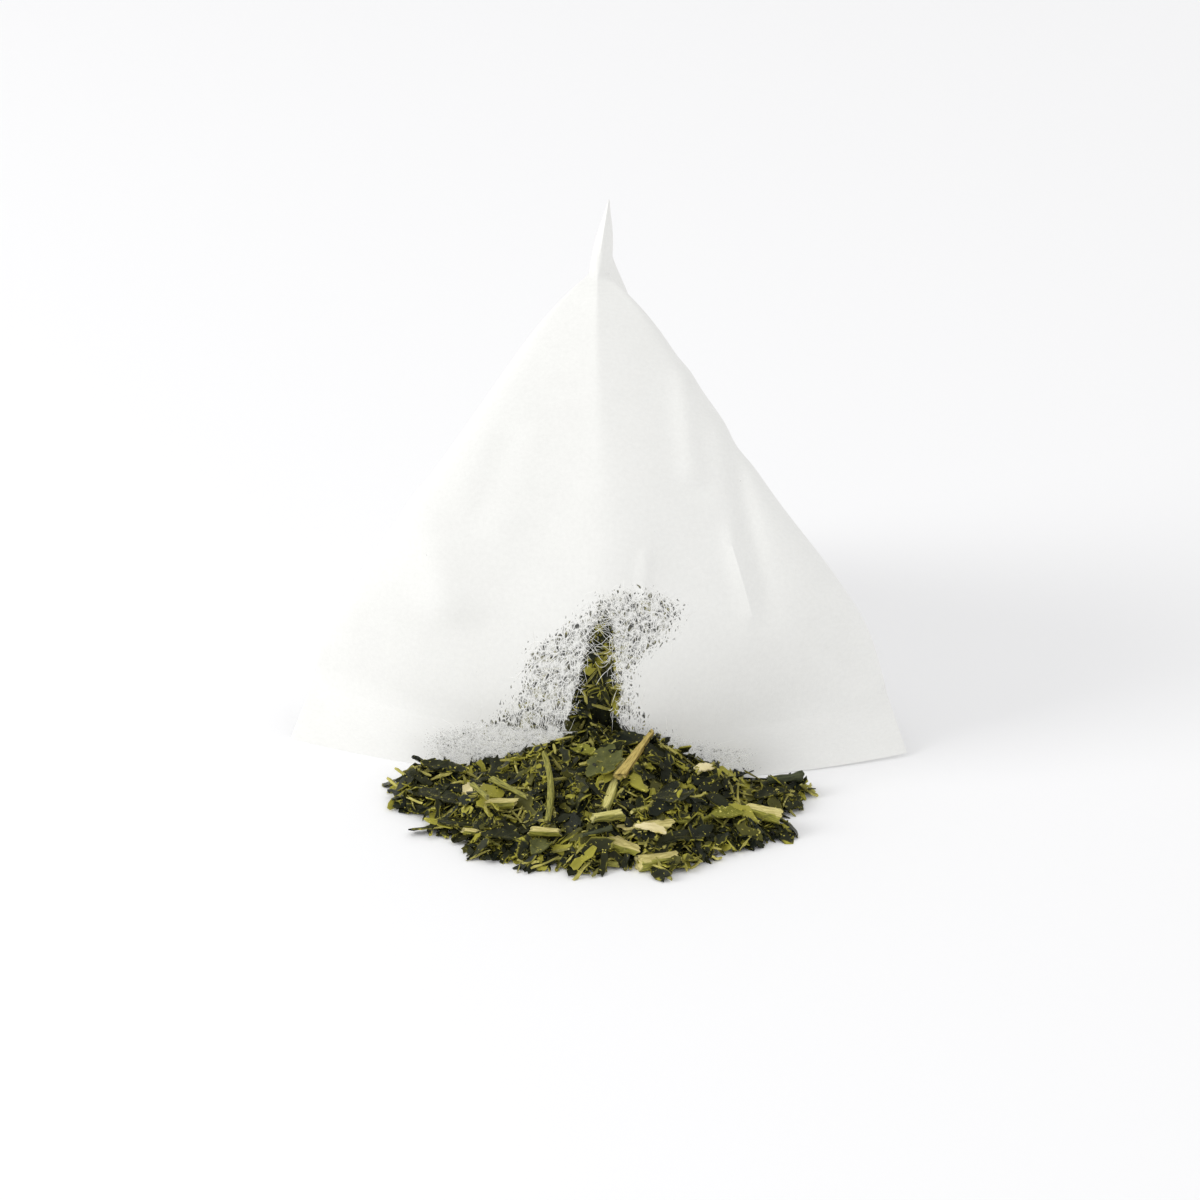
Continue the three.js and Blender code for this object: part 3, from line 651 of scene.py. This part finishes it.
sets = [
    fibre_set(
        edge_start, edge_side + rng.normal(0, 1.3, EDGE_FIBRES),
        rng.uniform(0.3, 1.1, EDGE_FIBRES), (0.02, 0.3), 0.026, 0.8,
    ),
    fibre_set(
        bridge_start, bridge_side + rng.normal(0, 0.6, BRIDGE_FIBRES),
        rng.uniform(1.6, 3.6, BRIDGE_FIBRES), (0.02, 0.35), 0.026, 0.7,
    ),
    fibre_set(
        web_start, rng.uniform(0, 2 * np.pi, WEB_FIBRES),
        rng.uniform(0.5, 1.7, WEB_FIBRES), (0.0, 0.03), 0.024, 0.9,
    ),
]
firsts = np.cumsum([0] + [len(points) for points, faces in sets])
fibres = mesh_piece(
    "torn_filaments", np.vstack([points for points, faces in sets]),
    np.vstack([faces + first for (points, faces), first in zip(sets, firsts)]), filament, sharp=180,
)
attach(fibres, "root")

# ------------------------------------------------------------------------------------------
# The tea's core: fine dust and broken leaf too small to tell apart, under the larger flakes.
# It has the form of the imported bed, drawn in a little so that the flakes cover it.

HEAP_X, HEAP_Y = 1.3, -7.0
HEAP_LEFT, HEAP_RIGHT, HEAP_FRONT = 19.4, 17.2, 17.8  # from its middle to its edges
HEAP_TOP = 5.2


def heap_radius(x, y):
    """0 at the heap's middle and 1 at its edge, which is between an ellipse and a diamond."""
    side = np.where(x > HEAP_X, HEAP_RIGHT, HEAP_LEFT)
    power = 1.7
    across, forward = abs((x - HEAP_X) / side), abs((y - HEAP_Y) / HEAP_FRONT)
    return (across**power + forward**power) ** (1 / power)


def heap_height(x, y):
    """Height of the spilled heap: a mound with more in the mouth of the tear, that falls away to
    both sides where it leans on the weld."""
    radius = heap_radius(x, y)
    mound = HEAP_TOP * (1 - np.minimum(radius, 1) ** 1.6)
    mouth = 2.6 * np.exp(-((x - 0.8) / 3.0) ** 2 - ((y + 6.5) / 2.2) ** 2)
    beside = 1 - 0.72 * ease(abs(x - HEAP_X), 6.5, 14) * ease(y, -13, -7)
    return (mound + mouth) * beside * (radius < 1)


def weld_front(x):
    """Y of the lower weld's front face, at about half its height."""
    return -7.6 + 9.2 * (x / 30) ** 2


def solid_axes(node):
    """Middle, axes and half sizes of a CAD node, from its own corners: the first axis along its
    length, the last one upwards."""
    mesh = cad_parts[node].data
    corners = np.zeros(len(mesh.vertices) * 3)
    mesh.vertices.foreach_get("co", corners)
    corners = np.unique(np.round(corners.reshape(-1, 3) / MM - [0, SHIFT_Y, 0], 3), axis=0)
    axes = np.linalg.svd(corners - corners.mean(0), full_matrices=False)[2]
    axes[0] *= 1 if axes[0, 0] > 0 else -1
    axes[2] *= 1 if axes[2, 2] > 0 else -1
    axes[1] = np.cross(axes[2], axes[0])
    local = corners @ axes.T
    middle = (local.max(0) + local.min(0)) / 2
    return corners, middle @ axes, axes, (local.max(0) - local.min(0)) / 2


# The height that the heap is filled to, on a grid: the mound, raised to carry every larger piece
# and kept just below it.
CELL = 0.2
CLEAR_BELOW = 0.2
SLOPE = 1.1  # of the fragments heaped against a larger piece
grid_x = np.arange(-21.5, 23.5, CELL)
grid_y = np.arange(-27.5, -2.0, CELL)
place_x, place_y = np.meshgrid(grid_x, grid_y, indexing="ij")
allowed = place_y < weld_front(place_x) - 0.2
wanted = np.where(allowed, heap_height(place_x, place_y), 0)
ceiling = np.full(wanted.shape, 99.0)
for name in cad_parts:
    if not name.startswith(("stem_", "leaf_")):
        continue
    at, axes, half = solid_axes(name)[1:]
    way = axes[0, :2]
    away_x, away_y = place_x - at[0], place_y - at[1]
    along = np.clip((away_x * way[0] + away_y * way[1]) / (way @ way), -half[0], half[0])
    distance = np.hypot(away_x - along * way[0], away_y - along * way[1]) - half[1]
    beneath = at[2] + along * axes[0, 2] - half[2] - CLEAR_BELOW
    carried = np.maximum(wanted, beneath - SLOPE * np.maximum(distance, 0))
    wanted = np.where(allowed, carried, wanted)
    ceiling = np.where(distance < 0.1, np.minimum(ceiling, beneath), ceiling)
wanted = np.clip(wanted, 0, np.maximum(ceiling, 0))
inside = allowed & (wanted > 0.02)


def blend(tree, first, second, amount):
    """A mix of two colours."""
    settings = {"data_type": "RGBA"}
    return add_node(tree, "ShaderNodeMix", settings, i0=amount, i6=first, i7=second).outputs[2]


def speckled_leaf(name, dark, light, rim_colour, speck_colour, speck_share, gloss):
    """Steamed and dried green tea leaf, cut small: a dark grey-green skin with fine wrinkles and a
    waxy gloss, paler where it is bruised, with yellow-green torn edges and specks."""
    material, tree = new_material(name)
    place = add_node(tree, "ShaderNodeTexCoord").outputs["Object"]
    patches = maths(tree, "MULTIPLY_ADD", noise(tree, place, 700.0, 3.0, 0.65), 1.6, -0.3)
    skin = blend(tree, srgb(dark), srgb(light), patches)
    kind = blend(tree, skin, srgb(rim_colour), attribute_of(tree, "tint"))
    nibbled = maths(tree, "MULTIPLY_ADD", noise(tree, place, 620.0, 2.0, 0.65), 8.0, -3.9)
    near_rim = maths(tree, "POWER", attribute_of(tree, "rim"), 9.0)
    edged = blend(tree, kind, srgb(rim_colour), maths(tree, "MULTIPLY", near_rim, nibbled))
    grains = noise(tree, place, 2600.0, 2.0, 0.65)
    specks = maths(tree, "MULTIPLY_ADD", grains, 12.0, -12 * (1 - speck_share))
    finish_material(
        tree, 0.12, Base_Color=blend(tree, edged, srgb(speck_colour), specks), Roughness=gloss,
        Normal=bump(tree, 0.7, 0.00012, noise(tree, place, 2200.0, 4.0, 0.65)),
    )
    return material


dust = speckled_leaf("green_tea_dust", 0x0E100A, 0x2C2F1A, 0x2C2F12, 0x8A8838, 0.38, 0.85)
core = bpy.data.objects.new("tea_core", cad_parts["tea_bed"].data.copy())
scene.collection.objects.link(core)
core.modifiers.new("even", "REMESH").voxel_size = 0.5 * MM
bpy.context.view_layer.update()
evaluated = core.evaluated_get(bpy.context.evaluated_depsgraph_get())
core.data = bpy.data.meshes.new_from_object(evaluated)
core.modifiers.clear()
count = len(core.data.vertices)
core_points, core_normals = np.zeros((2, count * 3), np.float32)
core.data.vertices.foreach_get("co", core_points)
core.data.vertices.foreach_get("normal", core_normals)
core_points = core_points.reshape(-1, 3) / MM
bumps = sum(
    np.sin(core_points @ (rng.normal(size=3) * 2.2) + phase) for phase in rng.uniform(0, 6, 7)
)[:, None]
core_points += core_normals.reshape(-1, 3) * (0.09 * bumps - 0.45)
core_x, core_y = core_points[:, 0], core_points[:, 1] - SHIFT_Y
outside = ease(weld_front(core_x) - core_y, -0.3, 0.4)
pull = 1 - outside * (1 - np.minimum(1, 0.95 / np.maximum(heap_radius(core_x, core_y), 0.1)))
core_x, core_y = HEAP_X + (core_x - HEAP_X) * pull, HEAP_Y + (core_y - HEAP_Y) * pull
cell_x = np.clip(np.round((core_x - grid_x[0]) / CELL).astype(int), 0, len(grid_x) - 1)
cell_y = np.clip(np.round((core_y - grid_y[0]) / CELL).astype(int), 0, len(grid_y) - 1)
above = np.maximum(0, core_points[:, 2] - np.maximum(wanted[cell_x, cell_y] - 0.6, 0.05))
core_points = np.stack([core_x, core_y + SHIFT_Y, core_points[:, 2] - outside * above], 1)
core_points[:, 2] = np.maximum(core_points[:, 2], 0.02)
core.data.vertices.foreach_set("co", (core_points * MM).astype(np.float32).ravel())
core.data.materials.clear()
core.data.materials.append(dust)
core.data.shade_smooth()
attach(core, "root")
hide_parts("tea_bed")

# ------------------------------------------------------------------------------------------
# The flakes: cut green tea, most of it flat shards of leaf 0.6 to 4 mm long, with thin needles of
# stalk among them. They are dropped one by one on the heap, and more lie behind the sheet.

ALONG, ACROSS = 4, 2  # faces along and across a flake
PLACES_TRIED = 6


def blade_faces(rows, wide):
    """Faces of a closed blade of two grids of rows by wide points, the second one under the
    first: both grids, and a wall round their rim."""
    number = np.arange(rows * wide).reshape(rows, wide)
    corners = number[:-1, :-1], number[1:, :-1], number[1:, 1:], number[:-1, 1:]
    top = np.stack(corners, 2).reshape(-1, 4)
    ring = np.concatenate([number[:-1, 0], number[-1, :-1], number[:0:-1, -1], number[0, :0:-1]])
    after = np.roll(ring, -1)
    wall = np.stack([after, ring, ring + number.size, after + number.size], 1)
    return np.vstack([top, top[:, ::-1] + number.size, wall])


def flake_meshes(centre, heading_axis, normal_axis, length, width, curl, bend, twist, thick):
    """Closed thin flakes. Each starts as a grid of t along (0 to 1) and s across (-1 to 1). Its
    half width is the width times a blunt-ended arch of t, roughened by chance. It is rolled about
    its length by curl, arched by bend and turned end to end by twist."""
    count = len(centre)
    t = np.linspace(0, 1, ALONG + 1)[None, :, None]
    s = np.linspace(-1, 1, ACROSS + 1)[None, None, :]
    rough = rng.uniform(0.4, 1.35, (count, ALONG + 1, ACROSS + 1))
    ends = rng.uniform(-0.35, 0.35, (2, count, 1, 1))
    grown = lambda value: value[:, None, None]
    half = grown(width) / 2 * (0.62 + 0.38 * np.sin(np.pi * t) ** 0.7) * rough
    turn = grown(curl) * s
    ragged = rng.uniform(-0.1, 0.1, rough.shape)
    x = grown(length) * (t - 0.5 + ragged) + half * s * (ends[0] * (1 - t) + ends[1] * t)
    rolled = np.sin(turn) / np.where(abs(grown(curl)) > 1e-3, grown(curl), 1)
    y = half * np.where(abs(turn) > 1e-3, rolled, s)
    z = half * abs(turn) * abs(s) * 0.5 * np.sign(grown(curl)) + grown(bend) * (2 * t - 1) ** 2
    spin = grown(twist) * (t - 0.5)
    y, z = y * np.cos(spin) - z * np.sin(spin), y * np.sin(spin) + z * np.cos(spin)
    z = z + rng.normal(0, 0.035, z.shape)
    side_axis = np.cross(normal_axis, heading_axis)
    axes = np.stack([heading_axis, side_axis, normal_axis], 1)
    layers = [np.stack([x, y, z + side * grown(thick)], 3) for side in (0.5, -0.5)]
    local = np.stack(layers, 1).reshape(count, -1, 3)
    points = (local @ axes + centre[:, None]).reshape(-1, 3)
    rim = np.ones((ALONG + 1, ACROSS + 1))
    rim[1:-1, 1:-1] = 0
    firsts = np.arange(count) * 2 * rim.size
    faces = blade_faces(*rim.shape) + firsts[:, None, None]
    return points, faces.reshape(-1, 4), np.tile(rim.ravel(), 2 * count)


def frames_from(normals, heading):
    """A pair of axes for each flake: its length, at a heading about its normal, and its normal."""
    normals = normals / np.linalg.norm(normals, axis=1, keepdims=True)
    start = np.cross(normals, [0.0, 1.0, 0.13])
    start /= np.linalg.norm(start, axis=1, keepdims=True)
    other = np.cross(normals, start)
    return start * np.cos(heading)[:, None] + other * np.sin(heading)[:, None], normals


def drop_flakes(length, width, room):
    """Drops flakes on the pile one by one. Each takes the emptiest of a few places drawn by
    chance, comes to rest on what is under it, and adds its thickness there. room is that
    thickness and how unevenly they lie."""
    thick, tilt = room
    count = len(length)
    spots = np.argwhere(inside)
    centres, normals = np.zeros((2, count, 3))
    heading = rng.uniform(0, 2 * np.pi, count)
    for i in range(count):
        tries = spots[rng.integers(len(spots), size=PLACES_TRIED)]
        lack = wanted[tries[:, 0], tries[:, 1]] - pile[tries[:, 0], tries[:, 1]]
        ix, iy = tries[np.argmax(lack)]
        reach = max(1, int(length[i] / CELL / 2))
        x0, x1 = max(ix - reach, 0), min(ix + reach + 1, len(grid_x))
        y0, y1 = max(iy - reach, 0), min(iy + reach + 1, len(grid_y))
        dx = place_x[x0:x1, y0:y1] - grid_x[ix]
        dy = place_y[x0:x1, y0:y1] - grid_y[iy]
        along = dx * math.cos(heading[i]) + dy * math.sin(heading[i])
        beside = dy * math.cos(heading[i]) - dx * math.sin(heading[i])
        under = (abs(along) < length[i] * 0.45) & (abs(beside) < width[i] * 0.45)
        if not under.any():
            under[...] = (dx == 0) & (dy == 0)
        level = pile[x0:x1, y0:y1]
        lean = roll = 0.0
        if under.sum() >= 4:
            lean = np.polyfit(along[under], level[under], 1)[0]
            roll = np.polyfit((beside + 1e-9 * along)[under], level[under], 1)[0]
        lean = np.clip(lean, -0.7, 0.7) + rng.normal(0, tilt)
        roll = np.clip(roll, -0.7, 0.7) + rng.normal(0, tilt)
        plane = lean * along + roll * beside
        rest = np.quantile((level - plane)[under], 0.8) + thick / 2
        centres[i] = grid_x[ix], grid_y[iy], rest
        forward = np.array([math.cos(heading[i]), math.sin(heading[i]), lean])
        sideways = np.array([-math.sin(heading[i]), math.cos(heading[i]), roll])
        normals[i] = np.cross(forward, sideways)
        top = np.minimum((rest + plane + thick / 2)[under], level[under] + 2.5 * thick)
        level[under] = np.maximum(level[under], top)
    steep = (abs(normals[:, 0]) + abs(normals[:, 1])) / np.linalg.norm(normals, axis=1)
    low = 0.25 * steep * length
    centres[:, 2] = np.maximum(centres[:, 2], low + thick / 2)
    flake_axis, flake_normal = frames_from(normals, heading)
    return centres, flake_axis, flake_normal


def behind_sheet(length, width, room):
    """Places for flakes behind the thin patches and the tear, at a distance in the range room,
    and axes nearly in the sheet's plane, whatever their size."""
    count = len(length)
    height = outer[..., 2]
    seen = np.maximum(thin, 1.2 * (tear < 1.0) * (height < 20))
    start = pick(on_front * seen * ease(height, 0.8, 2.5), count)
    face = grid_at(normal, start[:, 0], start[:, 1])
    spot = grid_at(outer, start[:, 0], start[:, 1])
    tilted = face + rng.normal(0, 0.14, face.shape)
    spot = spot - face * rng.uniform(*room, (count, 1))
    return spot, *frames_from(tilted, rng.uniform(0, 2 * np.pi, count))


def tints(count):
    """How yellow each flake is: most hardly, one in ten a little, and one in eleven strongly."""
    shares = rng.choice([0.0, 0.16, 0.9], count, p=[0.81, 0.1, 0.09])
    return shares + rng.uniform(0, 0.05, count)


def flake_piece(name, count, lengths, widths, thick, lay, room, curl, stalk=False):
    """One set of flakes, of lengths and widths in a range. lay places them, on a pile for which
    each counts as room thick, or behind the sheet."""
    length, width = rng.uniform(*lengths, count), rng.uniform(*widths, count)
    places = lay(length, width, room)
    curls = rng.normal(0, curl, count)
    thickness = rng.uniform(*thick, count) if isinstance(thick, tuple) else np.full(count, thick)
    tint = rng.beta(1.5, 2.5, count) if stalk else tints(count)
    bends = rng.normal(0, 0.06, count) * length
    twists = rng.normal(0, 1.0 if stalk else 0.5, count)
    points, faces, rim = flake_meshes(*places, length, width, curls, bends, twists, thickness)
    points[:, 2] = np.maximum(points[:, 2], 0.03)
    values = {"rim": rim, "tint": np.repeat(tint, len(rim) // count)}
    piece = mesh_piece(name, points, faces, stalk_bits if stalk else shard, values=values, sharp=35)
    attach(piece, "root")


shard = speckled_leaf("green_tea_leaf", 0x090C08, 0x222820, 0xA8A242, 0xDAD062, 0.36, 0.34)
stalk_bits = speckled_leaf(
    "green_tea_stalk_bits", 0x55552A, 0xA39D55, 0xC2B964, 0xE2DA90, 0.38, 0.5
)
FLAKES_DEEP = 1.5
pile = np.where(inside, np.maximum(wanted - FLAKES_DEEP, 0), 0)
flake_piece("leaf_shards_low", 560, (1.2, 3.3), (0.6, 1.6), 0.12, drop_flakes, (0.16, 0.3), 0.5)
flake_piece("leaf_shards_small", 2100, (0.6, 2.1), (0.35, 1.0), 0.11, drop_flakes, (0.13, 0.4), 0.7)
flake_piece(
    "stalk_needles", 260, (0.9, 3.0), (0.14, 0.32), (0.14, 0.24), drop_flakes, (0.2, 0.25), 0.6,
    stalk=True,
)
flake_piece("leaf_shards_top", 150, (1.8, 3.8), (0.8, 1.8), 0.13, drop_flakes, (0.15, 0.24), 0.6)
flake_piece(
    "leaf_shards_behind_sheet", 1500, (1.0, 3.2), (0.6, 1.6), 0.12, behind_sheet, (0.75, 2.4), 0.5
)
flake_piece(
    "stalk_needles_behind_sheet", 160, (1.2, 3.2), (0.18, 0.4), 0.2, behind_sheet, (0.6, 1.2), 0.5,
    stalk=True,
)

# ------------------------------------------------------------------------------------------
# The stems: lengths of stalk and split twig among the leaf. The thick ones are split along, so
# that they show cream wood beside a ribbed green-yellow bark. They lie where the CAD stems do.

STEM_RINGS, STEM_SIDES = 26, 22
UNSPLIT = 9.0  # radii above the heart, so past the bark


def stem_surface(node, look):
    """A stem along the middle line of its CAD solid. Its radius at p along (-1 to 1) and angle a
    is the stem's, times 1 plus small ribs along it, times a taper. A split stem is cut off flat
    above its heart. Each end is broken off slanting, and its pith is sunk."""
    corners, middle, axes, half = solid_axes(node)
    along = (corners - middle) @ axes[0]
    radius = min(half[1], half[2])
    side_axis = np.cross([0.0, 0.0, 1.0], axes[0])
    side_axis /= np.linalg.norm(side_axis)
    up_axis = np.cross(axes[0], side_axis)
    curved = (abs(along) < 0.6 * half[0]).any()
    bends = [
        np.polyfit(along, (corners - middle) @ axis, 2) if curved else [0.0]
        for axis in (side_axis, up_axis)
    ]
    caps = np.array([0.0, 0.45, 0.8, 0.96])
    pith_depth = np.array([0.28, 0.2, 0.02, -0.02])
    place = np.concatenate([-np.ones(4), np.linspace(-1, 1, STEM_RINGS), np.ones(4)])
    scale = np.concatenate([caps, np.ones(STEM_RINGS), caps[::-1]])
    sunk = np.concatenate([pith_depth, np.zeros(STEM_RINGS), -pith_depth[::-1]])
    a, p = 2 * np.pi * np.arange(STEM_SIDES)[None, :] / STEM_SIDES, place[:, None]
    seed = rng.uniform(0, 6, 6)
    ribs = 0.05 * np.sin(7 * a + seed[0] + 0.8 * p) + 0.04 * np.sin(11 * a + seed[1])
    ribs += 0.03 * np.sin(3 * p + 2 * a + seed[2])
    knots = 0.10 * np.sin(2.3 * p + seed[3]) + 0.05 * np.sin(6.1 * p + seed[4])
    taper = 1 + look.get("taper", 0.0) * p + look.get("flare", 0.0) * ease(p, 0.45, 1)
    reach = radius * np.clip(taper, 0.12, 2) * (1 + ribs + knots)
    torn = look.get("slant", 0.5) * np.cos(a - seed[5]) + 0.16 * np.sin(5 * a + seed[0])
    slant = radius * torn * ease(abs(p), 0.6, 1)
    across = reach * np.cos(a)
    upward = reach * np.sin(a)
    grain = 0.05 * np.sin(9 * across / radius + seed[1])
    grain = grain + 0.04 * np.sin(4 * p + 5 * across / radius)
    face = radius * (look.get("split", UNSPLIT) + grain)
    wood = np.where(upward > face, 1.0, 0.0)
    upward = np.minimum(upward, face)
    across, upward = across * scale[:, None], upward * scale[:, None]
    length = half[0] * p + slant * scale[:, None] * np.sign(p) + radius * sunk[:, None]
    length = np.where(abs(p) < 1, half[0] * p + slant * np.sign(p) * abs(p) ** 3, length)
    curve = [np.polyval(b, length) for b in bends]
    points = (
        middle + length[..., None] * axes[0] + (across + curve[0])[..., None] * side_axis
        + (upward + curve[1])[..., None] * up_axis
    )
    number = np.arange(points.shape[0] * STEM_SIDES).reshape(-1, STEM_SIDES)
    low, high = number[:-1], number[1:]
    faces = np.stack([low, np.roll(low, -1, 1), np.roll(high, -1, 1), high], 2).reshape(-1, 4)
    faces = faces[(faces[:, 0] >= STEM_SIDES) & (faces[:, 2] < number[-1, 0])]
    flat_points = points.reshape(-1, 3)
    start_ring, end_ring = number[1], number[-2]
    hub = len(flat_points)
    flat_points = np.vstack([flat_points, points[1].mean(0), points[-2].mean(0)])
    triangles = np.vstack([
        faces[:, [0, 1, 2]], faces[:, [0, 2, 3]],
        np.stack([np.roll(start_ring, -1), start_ring, np.full(STEM_SIDES, hub)], 1),
        np.stack([end_ring, np.roll(end_ring, -1), np.full(STEM_SIDES, hub + 1)], 1),
    ])
    cut = np.repeat((scale < 0.99).astype(float), STEM_SIDES)
    wood = np.concatenate([wood.ravel(), [0, 0]])
    uv = np.stack([(a + 0 * p) * radius, (p + 0 * a) * half[0]], 2).reshape(-1, 2)
    values = {"wood": wood, "cut": np.append(cut, [1, 1])}
    return flat_points, triangles, values, np.vstack([uv, np.zeros((2, 2))])


def stalk_material(name, bark_dark, bark_light, wood_dark, wood_light, pith):
    """Dried tea stalk: fibrous bark with dark streaks along it, and where it is split or broken,
    dry cream wood with fine straight grain. Nearly matt."""
    material, tree = new_material(name)
    flat = add_node(tree, "ShaderNodeUVMap", {"uv_map": "UVMap"}).outputs[0]
    place = add_node(tree, "ShaderNodeTexCoord").outputs["Object"]
    drawn = add_node(tree, "ShaderNodeMapping", Vector=flat, Scale=(6.5, 0.7, 1)).outputs[0]
    streak = noise(tree, drawn, 1.0, 4.0, 0.7)
    blotch = noise(tree, place, 900.0, 3.0, 0.7)
    bark = ramp(tree, streak, 0.36, 0.62, bark_dark, bark_light)
    wood = ramp(tree, streak, 0.32, 0.58, wood_dark, wood_light)
    heart = ramp(tree, blotch, 0.35, 0.6, pith, wood_light)
    bare = maths(tree, "MULTIPLY_ADD", blotch, 9.0, -5.6)
    side = blend(tree, blend(tree, bark, wood, bare), wood, attribute_of(tree, "wood"))
    finish_material(
        tree, 0.35, Base_Color=blend(tree, side, heart, attribute_of(tree, "cut")),
        Roughness=0.62, Normal=bump(tree, 0.7, 0.00012, streak),
    )
    return material


pale_twig = stalk_material("split_tea_twig", 0x4E5018, 0xB2AE48, 0x93853A, 0xDFD28C, 0x3C3C18)
green_stalk = stalk_material("green_tea_stalk", 0x4A4C1E, 0xA8A34C, 0xA89E50, 0xD8D084, 0x343815)
brown_stalk = stalk_material("brown_tea_stalk", 0x54451A, 0x9A8236, 0x8A7636, 0xC8B266, 0x33290F)
dark_stalk = stalk_material("dark_tea_stalk", 0x22281A, 0x4B5030, 0x3F4426, 0x6E6E38, 0x1A1D12)

STEM_LOOKS = {
    "stem_front_stub": dict(material=pale_twig, split=0.55, slant=0.25),
    "stem_cut_stub": dict(material=pale_twig, split=0.35, slant=0.7, taper=-0.12),
    "stem_pointed_stub": dict(material=pale_twig, split=0.3, slant=0.8, taper=0.15),
    "stem_short_stub": dict(material=green_stalk, split=0.5, slant=0.4),
    "stem_middle_stub": dict(material=pale_twig, split=0.4, slant=0.5),
    "stem_left_pale": dict(material=pale_twig, split=0.3, slant=0.8),
    "stem_left_yellow": dict(material=pale_twig, split=0.6, slant=0.6),
    "stem_left_thin": dict(material=green_stalk),
    "stem_left_needle": dict(material=green_stalk, taper=-0.2),
    "stem_long_thin": dict(material=green_stalk, taper=0.1),
    "stem_spotted": dict(material=green_stalk, taper=0.12, split=0.7),
    "stem_brown": dict(material=brown_stalk, taper=-0.35, split=0.5),
    "stem_right_twig": dict(material=green_stalk, taper=0.2),
    "stem_right_curved": dict(material=pale_twig, taper=0.25),
    "stem_right_hollow": dict(material=pale_twig, split=0.6, slant=0.5),
    "stem_right_flared": dict(material=dark_stalk, flare=0.7),
    "stem_front_twig": dict(material=green_stalk, taper=0.2),
    "stem_front_crossing": dict(material=dark_stalk, taper=0.2),
}
for node, look in STEM_LOOKS.items():
    points, triangles, values, uv = stem_surface(node, look)
    points[:, 2] = np.maximum(points[:, 2], 0.01)
    stem = mesh_piece(node + "_fine", points, triangles, look["material"], values=values, uv=uv, sharp=42)
    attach(stem, "root")
    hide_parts(node)

# ------------------------------------------------------------------------------------------
# The leaves: larger pieces of leaf blade and a few chips of wood, curled as they dried, with a
# rib and side veins, and torn edges that show yellow-green. They lie where the CAD leaves do.

LEAF_ALONG, LEAF_ACROSS = 30, 16


def leaf_surface(node, curl):
    """A piece of leaf blade. Its half width is the CAD leaf's, times a blunt arch of t along it,
    with a ragged edge. It is rolled about its length by curl, and crinkled by short waves. Its rib
    and its slanting side veins stand a little proud."""
    corners, middle, axes, half = solid_axes(node)
    t = np.linspace(0, 1, LEAF_ALONG + 1)[:, None]
    s = np.linspace(-1, 1, LEAF_ACROSS + 1)[None, :]
    seed = rng.uniform(0, 6, 10)
    width = np.linalg.norm(half[1:]) if curl > 0.8 else half[1]
    torn = sum(
        np.sin((5.3 + 6.1 * k) * t * np.pi + seed[k] + np.sign(s) * seed[k + 4]) / (k + 1)
        for k in range(4)
    )
    arch = 0.42 + 0.58 * np.sin(np.pi * np.clip(t, 0.03, 0.97)) ** 0.6
    reach = width * arch * (1 + 0.1 * torn)
    across = reach * np.sin(curl * s) / curl
    rise = reach * (1 - np.cos(curl * s)) / curl
    slant = 0.28 * half[1] * np.sin(3 * s + seed[8]) * (2 * t - 1)
    along = half[0] * (2 * t - 1) + slant
    side_veins = np.sin(np.pi * (3.2 * t - 0.9 * abs(s) + 0.2)) / 0.22
    veins = np.exp(-((s * 9) ** 2)) + 0.6 * np.exp(-(side_veins**2)) * (abs(s) > 0.05)
    waves = (
        np.sin((3 + 2.7 * k) * (2 * t * np.cos(seed[k]) + s * np.sin(seed[k])) + seed[k + 3])
        / (1 + k)
        for k in range(5)
    )
    sag = 0.12 * half[0] * (2 * t - 1) ** 2 * np.sin(seed[9])
    height = rise + 0.05 * veins + 0.035 * sum(waves) + sag
    lowest_z = ((corners - middle) @ axes[2]).min() + 0.16
    height = height - height.min() + lowest_z
    layers = [np.stack([along, across, height + side], 2) for side in (0.07, -0.07)]
    points = (np.stack(layers) @ axes + middle).reshape(-1, 3)
    edge = np.maximum(abs(2 * t - 1) ** 10, abs(s) ** 8)
    values = {
        "rim": np.tile(edge.ravel(), 2),
        "tint": 0.03 + 0.07 * np.tile(veins.ravel(), 2),
    }
    return points, blade_faces(LEAF_ALONG + 1, LEAF_ACROSS + 1), values


olive_leaf = speckled_leaf("olive_tea_leaf", 0x3E4326, 0x6A6C42, 0x9A9438, 0xB4AC50, 0.36, 0.5)
yellow_leaf = speckled_leaf("yellow_tea_leaf", 0x5C5E22, 0x8F8D3A, 0xC4BC4C, 0xD8D070, 0.42, 0.55)
cream_chip = speckled_leaf("cream_wood_chip", 0xCDBF88, 0xEFE3B8, 0xD8C878, 0x9A8F50, 0.34, 0.65)
LEAF_LOOKS = {
    "leaf_left_curled": (shard, 0.9), "leaf_left_sliver": (shard, 0.3), "leaf_left_tipped": (shard, 0.4),
    "leaf_left_pale": (cream_chip, 0.4), "leaf_left_flat": (shard, 0.2),
    "leaf_front_left_curled": (shard, 1.0), "leaf_front_cup": (olive_leaf, 0.9),
    "leaf_middle_folded": (yellow_leaf, 0.9), "leaf_big_olive": (olive_leaf, 0.25),
    "leaf_right_flat": (shard, 0.2), "leaf_front_dark": (shard, 0.4), "leaf_front_plank": (cream_chip, 0.2),
    "leaf_right_yellow": (yellow_leaf, 0.8), "leaf_right_chip": (cream_chip, 0.3),
    "leaf_right_curled": (shard, 1.0),
}
for node, (leaf_look, curl) in LEAF_LOOKS.items():
    points, faces, values = leaf_surface(node, curl)
    points[:, 2] = np.maximum(points[:, 2], 0.01)
    leaf = mesh_piece(node + "_fine", points, faces, leaf_look, values=values, sharp=50)
    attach(leaf, "root")
    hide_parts(node)
